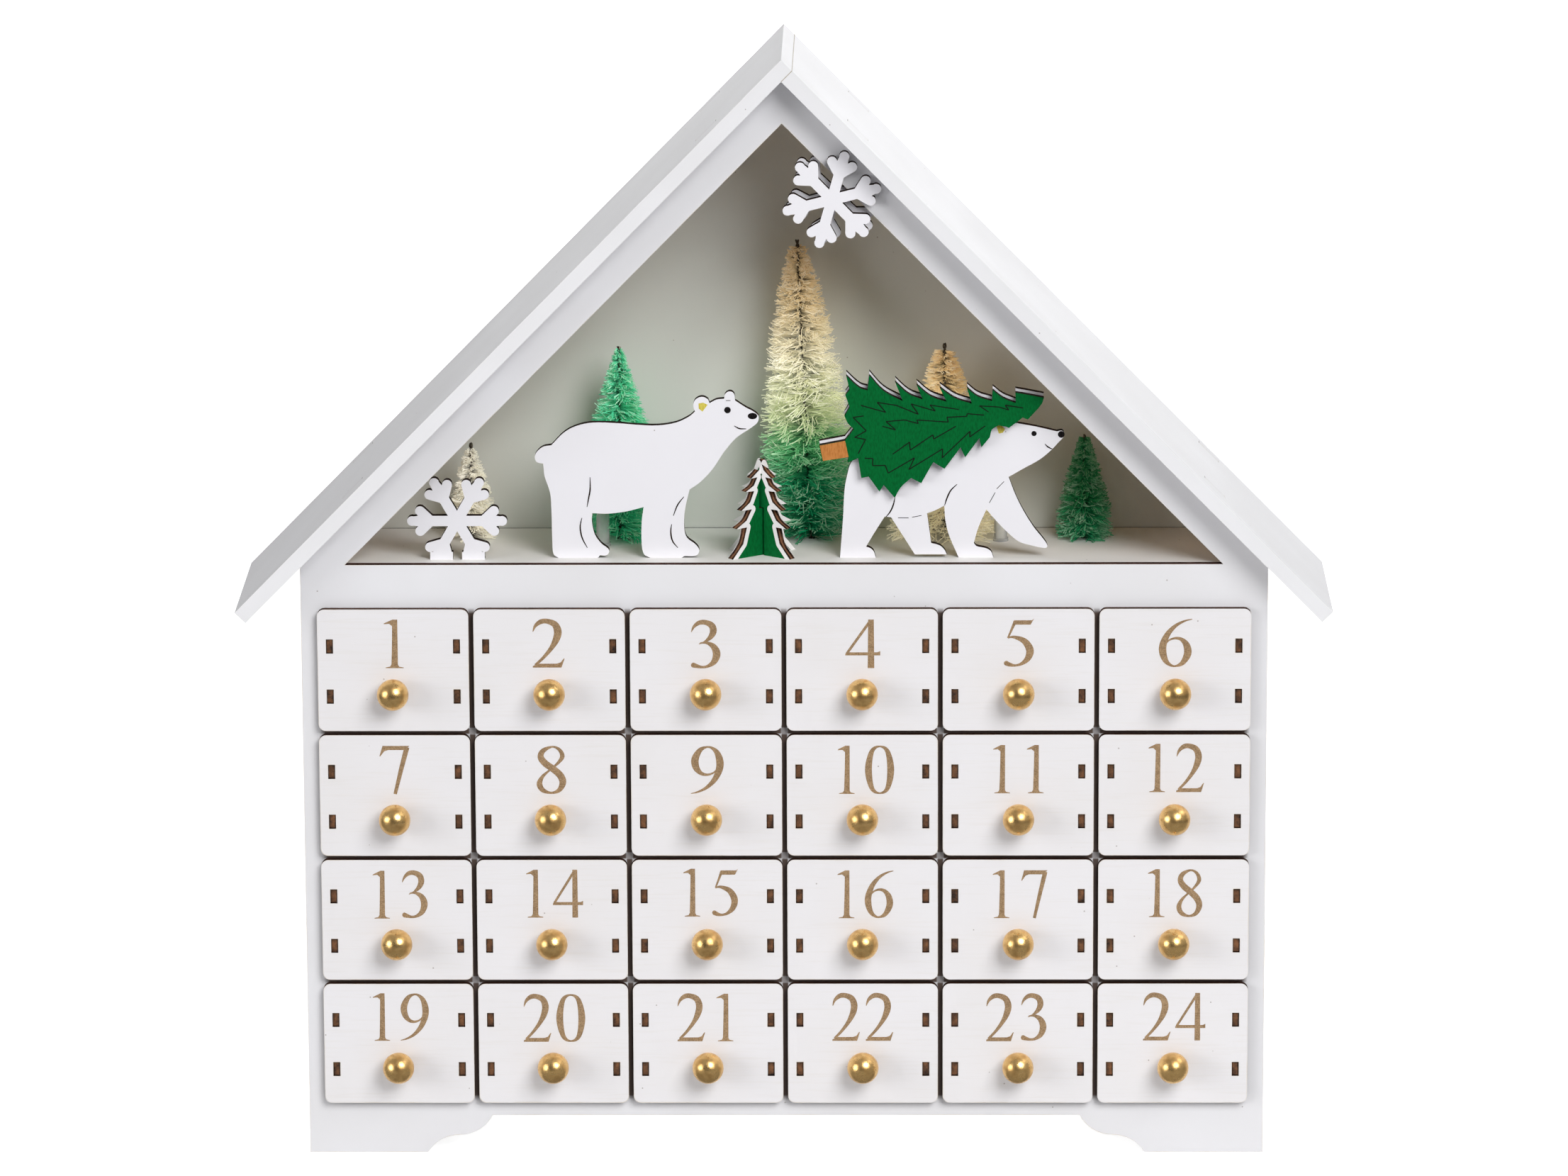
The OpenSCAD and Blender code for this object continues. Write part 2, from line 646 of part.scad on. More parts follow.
module drawer(n) {
    c = (n - 1) % cols;
    r = floor((n - 1) / cols);
    from_face(-seat_fit) translate([col_x(c), 0, row_z(r)]) {
        color("white") drawer_front();
        color("burlywood") drawer_side(-1);
        color("burlywood") drawer_side(1);
        color("burlywood") drawer_back();
        color("burlywood") drawer_bottom();
        color("goldenrod") drawer_knob();
    }
}

// Flat figures
module standing_bear() {
    color("white") board(panel_t + bear_y, figure_t)
        translate([bear_x, floor_z]) polygon(outline(bear_shares, bear_l));
}

module walking_bear() {
    color("white") board(panel_t + bear_y, figure_t) translate([walker_x, floor_z]) {
        polygon(outline(walker_shares, walker_l));
        translate([0, tree_rise]) polygon(outline(carried_shares, walker_l));
    }
}

module carried_tree() {
    color("green") board(panel_t + bear_y - figure_t, figure_t)
        translate([walker_x, floor_z]) polygon(outline(carried_shares, walker_l));
}

// One arm of a snowflake, along X, from its root to its lobes and back
function flake_side() =
    let (r = flake_lobe_share, side = [flake_side_u_share, flake_side_v_share])
    concat(
        arc([flake_tip_share, 0], r, 0, flake_tip_turn, 5),
        [[flake_notch_u_share, flake_notch_v_share]],
        arc(side, r, flake_side_turns[0], flake_side_turns[1], 7),
        [[flake_fork_share, flake_half_share], [flake_half_share / tan(30), flake_half_share]]
    );
function flake_arm() =
    let (half = flake_side())
    concat([for (i = [len(half) - 1:-1:1]) [half[i][0], -half[i][1]]], half);
function turned(p, a) = [p[0] * cos(a) - p[1] * sin(a), p[0] * sin(a) + p[1] * cos(a)];
function flake(turn) = [
    for (k = [0:5])
    let (arm = flake_arm())
    for (i = [0:len(arm) - 2])
    flake_r * turned(arm[i], turn + 60 * k)
];

module standing_snowflake() {
    low = flake_r * flake_cut_share;
    shoe = flake_r * [flake_shoe_w_share, flake_shoe_h_share];
    y = panel_t + flake_y;
    color("white") difference() {
        union() {
            board(y, figure_t) translate([flake_x, floor_z + low]) polygon(flake(0));
            for (side = [-1, 1])
                board(y, figure_t)
                    translate([flake_x + side * (flake_r * flake_shoe_u_share + shoe[0] / 2) - shoe[0] / 2, floor_z])
                    square(shoe);
        }
        board(y - cut, figure_t + 2 * cut)
            translate([flake_x - flake_r, floor_z - flake_r]) square([2 * flake_r, flake_r]);
    }
}

module hanging_snowflake_front() {
    color("white") board(-figure_t, figure_t)
        translate([hung_x, under_apex_z - hung_drop]) polygon(flake(hung_turn));
}

module hanging_snowflake_rear() {
    color("white") board(panel_t, figure_t)
        translate([hung_x + rear_flake_x, under_apex_z - hung_drop + rear_flake_up])
        polygon(flake(hung_turn + rear_flake_turn));
}

// Slotted tree: one board is slotted from the top and the other from below
function slot_tree() = [
    for (p = outline(concat(slot_tree_shares, mirrored(slot_tree_shares)), 1))
    [p[0] * slot_tree_w / 2, p[1] * slot_tree_h]
];

module slotted_tree_board(turn, from_top) {
    slot_w = figure_t / tan(slot_tree_turn) + 2 * slot_fit;
    slot_h = slot_tree_h / 2 + slot_fit;
    slot_z = from_top ? slot_tree_h / 2 - slot_fit : -cut;
    from_face(panel_t + slot_tree_y) translate([slot_tree_x, 0, floor_z]) rotate([0, 0, turn])
        difference() {
            rotate([90, 0, 0]) translate([0, 0, -figure_t / 2]) linear_extrude(figure_t) polygon(slot_tree());
            translate([-slot_w / 2, -figure_t / 2 - cut, slot_z])
                cube([slot_w, figure_t + 2 * cut, slot_h + cut]);
        }
}
module slotted_tree_a() { color("green") slotted_tree_board(slot_tree_turn, true); }
module slotted_tree_b() { color("forestgreen") slotted_tree_board(-slot_tree_turn, false); }

// A brush tree is one closed mesh: a twisted wire whose facets rise into strands
module brush_tree(h, base_r, levels, taper) {
    n = wire_sides;
    step = (h - bare_top - first_strand_z - root_h) / levels;
    phase = part_dir + 180 / n;
    function level_z(k) = first_strand_z + step * k;
    function reach(k) = base_r * max(tip_strand_share, pow(1 - k / levels, taper));
    ring_z = concat(
        [-wire_seat],
        [for (k = [0:levels - 1]) for (up = [-1, 1]) level_z(k) + up * root_h / 2],
        [h]
    );
    function ring_turn(i) = phase + 180 / n * max(0, min(levels - 1, ceil(i / 2) - 1));
    function side_turn(i, j) = ring_turn(i) + 360 / n * (j - 0.5);
    ring_points = [
        for (i = [0:len(ring_z) - 1])
        for (j = [0:n - 1])
        [wire_d / 2 * cos(side_turn(i, j)), wire_d / 2 * sin(side_turn(i, j)), ring_z[i]]
    ];
    tips = [
        for (k = [0:levels - 1])
        for (j = [0:n - 1])
        let (a = ring_turn(2 * k + 1) + 360 / n * j, r = reach(k))
        [r * cos(a), r * sin(a), level_z(k) + strand_rise * r]
    ];
    first_tip = len(ring_points);
    bottom = first_tip + len(tips);
    last = len(ring_z) - 1;
    function at(i, j) = i * n + j % n;
    walls = [
        for (i = [0:last - 1])
        for (j = [0:n - 1])
        if (i % 2 == 0)
        each [[at(i, j), at(i + 1, j), at(i + 1, j + 1)], [at(i, j), at(i + 1, j + 1), at(i, j + 1)]]
    ];
    strands = [
        for (k = [0:levels - 1])
        for (j = [0:n - 1])
        let (i = 2 * k + 1, tip = first_tip + k * n + j)
        each [
            [at(i, j), at(i + 1, j), tip], [at(i + 1, j), at(i + 1, j + 1), tip],
            [at(i + 1, j + 1), at(i, j + 1), tip], [at(i, j + 1), at(i, j), tip]
        ]
    ];
    ends = [
        for (j = [0:n - 1])
        each [[bottom, at(0, j), at(0, j + 1)], [bottom + 1, at(last, j + 1), at(last, j)]]
    ];
    polyhedron(
        points = concat(ring_points, tips, [[0, 0, -wire_seat], [0, 0, h]]),
        faces = concat(walls, strands, ends), convexity = 10
    );
}

module brush_place(x) {
    from_face(brush_y) translate([x, 0, floor_z]) children();
}
module brush_tree_mint() { color("mediumaquamarine") brush_place(mint_x) brush_tree(mint_h, mint_r, 10, 0.75); }
module brush_tree_ombre() {
    color("palegreen") brush_place(ombre_x) rotate([0, ombre_lean, 0]) brush_tree(ombre_h, ombre_r, 18, 0.45);
}
module brush_tree_tan() { color("tan") brush_place(tan_x) brush_tree(tan_h, tan_r, 10, 0.7); }
module brush_tree_green() { color("seagreen") brush_place(green_x) brush_tree(green_h, green_r, 6, 0.7); }
module brush_tree_cream() { color("wheat") brush_place(cream_x) brush_tree(cream_h, cream_r, 6, 0.7); }

// Clear lights that stand on the floor, with two legs each through it
module lights() {
    r = led_d / 2;
    color("ghostwhite") for (p = led_places)
        from_face(p[1]) translate([p[0], 0, floor_z]) {
            cylinder(h = led_flange_h, d = led_flange_d);
            cylinder(h = led_h - r, d = led_d);
            translate([0, 0, led_h - r]) sphere(r = r);
            for (side = [-1, 1])
                translate([side * leg_pitch / 2, 0, -shelf_t - leg_down])
                    cylinder(h = shelf_t + leg_down + led_flange_h / 2, d = leg_d, $fn = 24);
        }
}

// A wire through a list of points, as straight runs with round corners
module wire(points) {
    for (i = [0:len(points) - 2]) {
        run = points[i + 1] - points[i];
        translate(points[i])
            rotate([0, acos(run[2] / norm(run)), atan2(run[1], run[0])])
            cylinder(h = norm(run), d = lead_d, $fn = 24);
    }
    for (i = [1:len(points) - 2]) translate(points[i]) sphere(d = lead_d, $fn = 24);
}

// Two wires from each light, side by side through the cavity and the hole
module light_leads() {
    pitch = lead_d + lead_gap;
    color("silver") for (k = [0:1])
        for (side = [-1, 1]) {
            p = led_places[k];
            x = p[0] + side * leg_pitch / 2;
            out = k == 0 ? side : -side;
            lane = body_d - panel_t - lead_rear - lead_d / 2 - (out > 0 ? pitch : 0);
            end_x = lead_x + (k == 0 ? -1 : 1) * (out > 0 ? 0.5 : 1.5) * pitch;
            from_face(0) wire([
                [x, p[1], floor_z - shelf_t - leg_down],
                [x, p[1], lead_z],
                [x, lane, lead_z],
                [end_x, lane, lead_z],
                [end_x, case_y + case_wall + lead_d, lead_z]
            ]);
        }
}

module foam_pad() {
    color("gray") difference() {
        from_face(body_d) translate([case_x + case_wall, 0, case_z + case_wall])
            cube([case_w - 2 * case_wall, pad_t, case_h - 2 * case_wall]);
        lead_hole(body_d, pad_t);
    }
}

// Battery box, open to the rear over the cells, with a fixed lid over the switch
module battery_box() {
    color("ivory") difference() {
        from_face(case_y) translate([case_x, 0, case_z]) cube([case_w, case_d, case_h]);
        from_face(case_y + case_wall) translate([case_x + case_wall, 0, case_z + case_wall])
            cube([bay_l, case_d, case_h - 2 * case_wall]);
        from_face(case_y + case_wall) translate([switch_bay_x, 0, case_z + case_wall])
            cube([switch_bay_w, case_d - case_wall - lid_t, case_h - 2 * case_wall]);
        from_face(case_y + case_d - lid_t) translate([case_x - cut, 0, case_z + case_wall - groove])
            cube([cut + door_l, door_t, case_h - 2 * case_wall + 2 * groove]);
        from_face(case_y + case_d - lip_t - cut) translate([case_x - cut, 0, case_z + case_wall])
            cube([cut + door_l, lip_t + 2 * cut, case_h - 2 * case_wall]);
        from_face(case_y + case_d - lid_t - cut) translate([lead_x, 0, case_z + case_h / 2])
            switch_window(cut + lid_t + cut);
        lead_hole(case_y, case_wall);
    }
}

// Slot in the lid for the slider, over its whole travel
module switch_window(d) {
    w = switch_w + switch_travel + 2 * slide_fit;
    h = switch_h + 2 * slide_fit;
    translate([-w / 2, 0, -h / 2]) cube([w, d, h]);
}

module switch_slider() {
    x = lead_x - switch_travel / 2 - switch_w / 2;
    y = case_y + case_d - lid_t - slide_fit - switch_foot_t;
    z = case_z + case_h / 2 - switch_h / 2;
    color("black") {
        from_face(y) translate([x - switch_foot, 0, z - switch_foot])
            cube([switch_w + 2 * switch_foot, switch_foot_t, switch_h + 2 * switch_foot]);
        from_face(y) translate([x, 0, z])
            cube([switch_w, switch_foot_t + slide_fit + lid_t + switch_out, switch_h]);
    }
}

// Door that slides in the box's grooves, with two finger ridges
module battery_door() {
    h = case_h - 2 * case_wall + 2 * groove - 2 * door_fit;
    y = case_y + case_d - lid_t + door_fit / 2;
    color("ivory") {
        from_face(y) translate([case_x, 0, case_z + (case_h - h) / 2])
            cube([door_l - door_fit, door_t - door_fit, h]);
        for (k = [1:2])
            from_face(y) translate([case_x + pull_w * k, 0, case_z + case_h / 2 - pull_w])
                cube([pull_d, door_t - door_fit + lip_t, 2 * pull_w]);
    }
}

cell_y = case_y + case_wall + cell_gap + cell_d / 2;
function cell_z(k) = case_z + case_h / 2 + (k - 0.5) * (cell_d + cell_gap);

// Two cells, one turned end for end
module batteries() {
    body_l = cell_l - cell_nub_l;
    bay_mid = case_x + case_wall + bay_l / 2;
    shift = (bay_l - cell_l) / 2 - contact_t - seat_fit;
    color("darkslategray") for (k = [0, 1])
        from_face(cell_y) translate([bay_mid, 0, cell_z(k)]) rotate([0, k == 0 ? 90 : -90, 0])
            translate([0, 0, shift - cell_l / 2]) {
                cylinder(h = body_l, d = cell_d);
                cylinder(h = cell_l, d = cell_nub_d);
            }
}

// Contact plates at both ends of the bay, each with a spring for one cell
module battery_contacts() {
    bay_x = case_x + case_wall;
    spring_l = bay_l - cell_l - 2 * contact_t - 2 * seat_fit;
    color("silver") for (k = [0, 1])
        for (end = [0, 1]) {
            x = end == 0 ? bay_x : bay_x + bay_l - contact_t;
            from_face(cell_y - contact_w / 2) translate([x, 0, cell_z(k) - contact_h / 2])
                cube([contact_t, contact_w, contact_h]);
            if (k == end)
                from_face(cell_y) translate([x + contact_t / 2, 0, cell_z(k)])
                    rotate([0, end == 0 ? 90 : -90, 0])
                    difference() {
                        cylinder(h = spring_l + contact_t / 2, d = spring_d);
                        translate([0, 0, contact_t])
                            cylinder(h = spring_l + contact_t, d = spring_d - spring_wire_d);
                    }
        }
}

front_panel();
back_panel();
side_wall_left();
side_wall_right();
bottom_panel();
shelf_1();
shelf_2();
shelf_3();
dividers();
cell_ceiling();
scene_floor();
roof_left();
roof_right();
standing_bear();
walking_bear();
carried_tree();
standing_snowflake();
hanging_snowflake_front();
hanging_snowflake_rear();
slotted_tree_a();
slotted_tree_b();
brush_tree_mint();
brush_tree_ombre();
brush_tree_tan();
brush_tree_green();
brush_tree_cream();
lights();
light_leads();
battery_box();
foam_pad();
battery_contacts();
batteries();
battery_door();
switch_slider();
for (n = [1:cols * rows])
    drawer(n);
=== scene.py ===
import math
import random

import bmesh
import bpy
from mathutils import Matrix, Vector
from mathutils.geometry import delaunay_2d_cdt


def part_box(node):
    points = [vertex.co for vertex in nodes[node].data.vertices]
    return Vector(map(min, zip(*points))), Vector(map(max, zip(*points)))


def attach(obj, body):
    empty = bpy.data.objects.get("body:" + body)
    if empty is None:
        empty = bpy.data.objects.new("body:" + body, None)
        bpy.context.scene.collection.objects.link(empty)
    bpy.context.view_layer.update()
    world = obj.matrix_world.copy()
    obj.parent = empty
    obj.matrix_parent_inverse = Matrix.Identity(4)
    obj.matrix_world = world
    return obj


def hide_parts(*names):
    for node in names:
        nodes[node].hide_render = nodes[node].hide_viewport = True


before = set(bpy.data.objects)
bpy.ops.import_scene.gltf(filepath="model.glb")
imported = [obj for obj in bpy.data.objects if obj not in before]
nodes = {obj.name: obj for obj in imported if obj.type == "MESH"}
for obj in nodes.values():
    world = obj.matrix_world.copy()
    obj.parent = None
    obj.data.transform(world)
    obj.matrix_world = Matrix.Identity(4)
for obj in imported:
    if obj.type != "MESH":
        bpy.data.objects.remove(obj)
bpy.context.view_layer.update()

# Camera: a long lens at the photograph's angle, a little above the house and looking down.
# It aims at a point on the front panel's face, close to the middle line of the house.
mm = 0.001
photo_w = 2212
sensor_w = 36
focal_px = 11500
front_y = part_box("front_panel")[0].y
back_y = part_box("back_panel")[0].y
aim = Vector((0.1 * mm, front_y, 193.5 * mm))
camera_away = 2676 * mm
look_down = math.radians(13.35)
look_left = math.radians(0.82)
lens_roll = math.radians(-0.25)
clip_away = 30


def new_object(name, data):
    made = bpy.data.objects.new(name, data)
    bpy.context.scene.collection.objects.link(made)
    return made


level = math.cos(look_down)
ahead = Vector((-math.sin(look_left) * level, math.cos(look_left) * level, -math.sin(look_down)))
side = ahead.cross(Vector((0, 0, 1))).normalized()
rise = side.cross(ahead)
lens = bpy.data.cameras.new("camera")
lens.sensor_width = sensor_w
lens.lens = focal_px * sensor_w / photo_w
lens.clip_end = clip_away
camera = new_object("camera", lens)
turn = Matrix((side, rise, -ahead)).transposed() @ Matrix.Rotation(lens_roll, 3, "Z")
camera.matrix_world = Matrix.Translation(aim - ahead * camera_away) @ turn.to_4x4()
bpy.context.scene.camera = camera

# Boards of the house: 3 mm board, sprayed white on its faces and cut by laser, so that each
# cut edge is scorched brown, and the paint beside it is toned a little yellow.
# Finger joints and glue hold them together.
panel_white = (232, 232, 236)
panel_shadow = (215, 213, 213)
speck_brown = (120, 104, 92)
toned_yellow = (206, 184, 146)
scorch_dark = (22, 11, 10)
scorch_light = (86, 54, 40)
# Brown of the painted shade that darkens the front panel in the gaps between the drawer fronts.
gap_shade_brown = (92, 76, 68)
board_t = 3 * mm
# Half widths of that painted shade and of the gaps' crossings, and how much lighter the shade is where
# they cross.
bar_half = 0.9 * mm
crossing_half = 1.1 * mm
crossing_lighter = 0.4
front_round = 2 * mm
# A whiter copy of the panel paint, painted light for the scene floor and the inner boards.
floor_lit_white = (246, 245, 241)
# A greyer white, painted shade on the back panel's inner face.
back_shaded_grey = (218, 219, 213)
rim_dark = (34, 15, 14)
rim_light = (88, 48, 38)
rim_core = 0.3 * mm
film_t = 0.012 * mm
char_depth = 0.1 * mm
grain_scale = 1300
cloud_scale = 28
peel_scale = 1600
speck_scale = 190
char_scale = 1100


def colour(chart):
    """Linear colour of a paint chart's red, green and blue."""
    return tuple(((c / 255 + 0.055) / 1.055) ** 2.4 for c in chart) + (1,)


def feed(tree, socket, value):
    """Links another node's output to a socket, or sets the socket's own value."""
    if isinstance(value, bpy.types.NodeSocket):
        tree.links.new(value, socket)
    else:
        socket.default_value = value


def fill(tree, sockets, values):
    """Feeds several sockets of a node by their names."""
    for name, value in values.items():
        feed(tree, sockets[name], value)
    return tree


def add(tree, kind, *values, operation=None):
    """A new shader node, with the values of its first sockets."""
    made = tree.nodes.new("ShaderNode" + kind)
    if operation:
        made.operation = operation
    for socket, value in zip(made.inputs, values):
        feed(tree, socket, value)
    return made


def calc(tree, operation, *values):
    return add(tree, "Math", *values, operation=operation).outputs[0]


def product(tree, *values):
    return calc(tree, "MULTIPLY", *values)


def dot(tree, *values):
    return add(tree, "VectorMath", *values, operation="DOT_PRODUCT").outputs["Value"]


def mix(tree, share, low, high):
    """Colour between two colours, each a chart colour or another node's output."""
    made = add(tree, "Mix", share)
    made.data_type = "RGBA"
    for socket, value in ((made.inputs[6], low), (made.inputs[7], high)):
        feed(tree, socket, value if isinstance(value, bpy.types.NodeSocket) else colour(value))
    return made.outputs[2]


def spread(tree, value, low, high, to_low=0.0, to_high=1.0):
    return add(tree, "MapRange", value, low, high, to_low, to_high).outputs[0]


def here(tree):
    """Place on the object, in metres of the row frame."""
    return add(tree, "TexCoord").outputs["Object"]


def here_axes(tree):
    return add(tree, "SeparateXYZ", here(tree)).outputs


def stretched(tree, scale):
    made = add(tree, "Mapping", here(tree))
    made.inputs["Scale"].default_value = scale
    return made.outputs[0]


def noise(tree, scale, detail=2.0, place=None):
    made = add(tree, "TexNoise", here(tree) if place is None else place)
    fill(tree, made.inputs, {"Scale": scale, "Detail": detail})
    return made.outputs[0]


def shader_group(name, make, **inputs):
    """A node group with float inputs and their values, whose outputs make gives by name."""
    tree = bpy.data.node_groups.new(name, "ShaderNodeTree")
    for socket, value in inputs.items():
        made = tree.interface.new_socket(name=socket, in_out="INPUT", socket_type="NodeSocketFloat")
        made.default_value = value
    outputs = make(tree, tree.nodes.new("NodeGroupInput").outputs)
    for socket in outputs:
        tree.interface.new_socket(name=socket, in_out="OUTPUT", socket_type="NodeSocketFloat")
    return fill(tree, tree.nodes.new("NodeGroupOutput").inputs, outputs)


def use_group(tree, group, **values):
    made = add(tree, "Group")
    made.node_tree = group
    fill(tree, made.inputs, values)
    return made.outputs


def make_paint_film(tree, inside):
    """Thin sprayed paint: soft clouds, the grain that shows through, peel and stray specks."""
    grain = noise(tree, grain_scale, 3, stretched(tree, (0.05, 1, 1)))
    clouds = noise(tree, cloud_scale)
    peel = noise(tree, peel_scale)
    grain_tone = product(tree, spread(tree, grain, 0.52, 0.75), inside["Grain"])
    cells = add(tree, "TexVoronoi", here(tree))
    cells.inputs["Scale"].default_value = speck_scale
    lot = add(tree, "SeparateColor", cells.outputs["Color"]).outputs[0]
    spots = spread(tree, cells.outputs["Distance"], 0.06, 0.03)
    return {
        "Tone": calc(tree, "MULTIPLY_ADD", grain_tone, 0.5, product(tree, clouds, 0.6)),
        "Specks": product(tree, spots, calc(tree, "GREATER_THAN", lot, 0.8)),
        "Height": calc(tree, "MULTIPLY_ADD", grain_tone, -0.6, peel),
    }


def make_laser_edge(tree, inside):
    """Mask that is 1 at a sharp edge and fades to 0 at the given width from it."""
    rounded = add(tree, "Bevel", inside["Width"])
    rounded.samples = 4
    facing = dot(tree, rounded.outputs["Normal"], add(tree, "NewGeometry").outputs["Normal"])
    return {"Edge": spread(tree, facing, 0.99, 0.75)}


def make_scorch(tree, inside):
    """Laser-cut wood: streaks of char across the cut, and a paler core in the middle."""
    streaks = noise(tree, char_scale, 3)
    patches = noise(tree, 160)
    pale = product(tree, spread(tree, streaks, 0.35, 0.7), spread(tree, patches, 0.3, 0.65))
    pale = calc(tree, "MULTIPLY_ADD", inside["Core"], 0.6, product(tree, pale, 0.5))
    return {"Pale": pale, "Height": streaks}


paint_film = shader_group("paint_film", make_paint_film, Grain=1.0)
laser_edge = shader_group("laser_edge", make_laser_edge, Width=0.0)
scorch = shader_group("scorch", make_scorch, Core=0.0)


def bumped(tree, height, distance):
    made = add(tree, "Bump")
    fill(tree, made.inputs, {"Height": height, "Distance": distance})
    return made.outputs[0]


def makes_material(look):
    """Turns a function that gives a shader's sockets by name into one that makes a material."""
    def make(name, *values, **options):
        made = bpy.data.materials.new(name)
        made.use_nodes = True
        tree = made.node_tree
        fill(tree, tree.nodes["Principled BSDF"].inputs, look(tree, *values, **options))
        return made
    return make


def near_line(tree, along, place, pitch, half):
    """1 within half a width of the lines that repeat at a pitch, and 0 away from them."""
    moved = calc(tree, "ADD", calc(tree, "SUBTRACT", along, place), pitch / 2)
    off = calc(tree, "SUBTRACT", calc(tree, "FLOORED_MODULO", moved, pitch), pitch / 2)
    return spread(tree, calc(tree, "ABSOLUTE", off), half * 1.25, half * 0.85)


def make_smoked_bars(tree, _):
    """Painted shade on the bars between the drawers, where the gaps between the fronts lie in deep shade,
    but less where they cross.
    """
    first, beside, below, last = (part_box("drawer_" + number) for number in ("01", "02", "07", "24"))
    axes = here_axes(tree)
    bars = (
        (axes[0], (first[1].x + beside[0].x) / 2, beside[0].x - first[0].x),
        (axes[2], (first[0].z + below[1].z) / 2, first[0].z - below[0].z),
    )
    gap_shade = calc(tree, "MAXIMUM", *(near_line(tree, *bar, bar_half) for bar in bars))
    crossing = product(tree, *(near_line(tree, *bar, crossing_half) for bar in bars))
    gap_shade = calc(tree, "SUBTRACT", gap_shade, product(tree, crossing, crossing_lighter))
    for axis, low, high in ((axes[0], first[0].x, last[1].x), (axes[2], last[0].z, first[1].z)):
        gap_shade = product(tree, gap_shade, spread(tree, axis, low, low + front_round))
        gap_shade = product(tree, gap_shade, spread(tree, axis, high, high - front_round))
    return {"GapShade": calc(tree, "MAXIMUM", gap_shade, 0)}


gap_shade_bars = shader_group("gap_shade_bars", make_smoked_bars)


@makes_material
def white_paint(tree, paint, shadow, grain=0.0, fringe=0.45 * mm, toning=0.5, shaded_gaps=False):
    """White spray paint over board, toned yellow along each laser cut."""
    surface = use_group(tree, paint_film, Grain=grain)
    edge = use_group(tree, laser_edge, Width=fringe)["Edge"]
    uneven = spread(tree, noise(tree, 90), 0.4, 0.65, 0.25, 1.0)
    toned = product(tree, product(tree, edge, toning), uneven)
    paint_tone = mix(tree, surface["Tone"], paint, shadow)
    specked = mix(tree, product(tree, surface["Specks"], 0.6), paint_tone, speck_brown)
    finished = mix(tree, toned, specked, toned_yellow)
    # Painted shade: the bars between the drawers are browned where the gaps between the fronts are shaded.
    if shaded_gaps:
        finished = mix(tree, use_group(tree, gap_shade_bars)["GapShade"], finished, gap_shade_brown)
    return {
        "Base Color": finished,
        "Roughness": spread(tree, surface["Tone"], 0, 1, 0.5, 0.68),
        "Normal": bumped(tree, surface["Height"], film_t),
        "Specular IOR Level": 0.35,
    }


@makes_material
def scorched_wood(tree, across, middle, half_core, dark=scorch_dark, light=scorch_light):
    """Burnt edge of a board; across is its normal, and middle the place of its core along it."""
    off = calc(tree, "ABSOLUTE", calc(tree, "SUBTRACT", dot(tree, here(tree), across), middle))
    burnt = use_group(tree, scorch, Core=spread(tree, off, half_core * 1.3, half_core * 0.7))
    return {
        "Base Color": mix(tree, burnt["Pale"], dark, light),
        "Normal": bumped(tree, burnt["Height"], char_depth),
        "Roughness": 0.8,
        "Specular IOR Level": 0.15,
    }


def dress(name, choose, *materials):
    """Gives a carried-over node its materials; choose says which one a face has."""
    mesh = nodes[name].data
    mesh.materials.clear()
    for material in materials:
        mesh.materials.append(material)
    for face in mesh.polygons:
        face.material_index = choose(face)


def cut_across(axis):
    """Chooses 1 for a board's cut edges, and 0 for its faces, which look along the axis."""
    return lambda face: int(abs(face.normal[axis]) < 0.7)


def gable_side(face):
    """As cut_across, but 2 for the rear face and for the tabs' ends in the roof, painted over."""
    slopes_out = face.normal.z > 0.5 and face.normal.x * face.center.x > 0.3 * abs(face.center.x)
    return 2 if slopes_out or face.normal.y > 0.7 else cut_across(1)(face)


# The front panel's face paint carries the painted shade in the gaps between the drawer fronts.
face_paint = white_paint("face_paint", panel_white, panel_shadow, fringe=0.6 * mm, toning=0.8, shaded_gaps=True)
panel_paint = white_paint("panel_paint", panel_white, panel_shadow)
# Painted shade: the cavity's back wall gets a greyer white than the other boards.
back_paint = white_paint("back_paint", back_shaded_grey, back_shaded_grey)
# Painted light: the scene floor, shelves and inner boards get a whiter paint than the panels, which
# brightens them as more light would.
inner_paint = white_paint("inner_paint", floor_lit_white, panel_shadow)
for name, paint_coat in (("front_panel", face_paint), ("back_panel", back_paint)):
    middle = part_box(name)[0].y + board_t / 2
    edge = scorched_wood(name + "_cut", (0, 1, 0), middle, rim_core, rim_dark, rim_light)
    dress(name, gable_side, paint_coat, edge, panel_paint)
board_edge = scorched_wood("board_cut", (0, 1, 0), 0, 0)
for name in ("side_wall_left", "side_wall_right", "dividers"):
    dress(name, cut_across(0), panel_paint, board_edge)
for name in ("bottom_panel", "shelf_1", "shelf_2", "shelf_3", "cell_ceiling", "scene_floor"):
    dress(name, cut_across(2), inner_paint, board_edge)

# Roof: two 5 mm boards that meet at the ridge and lap over the walls. They are sprayed white
# on all sides after cutting, and the panels' tabs come up through their slots.
roof_white = (236, 236, 239)
roof_shadow = (219, 218, 219)
bare_board = (206, 164, 116)
bare_streak = (184, 140, 92)
spray_fade = 0.5 * mm
fibre_depth = 0.02 * mm
roof_paint = white_paint("roof_paint", roof_white, roof_shadow, toning=0.12)


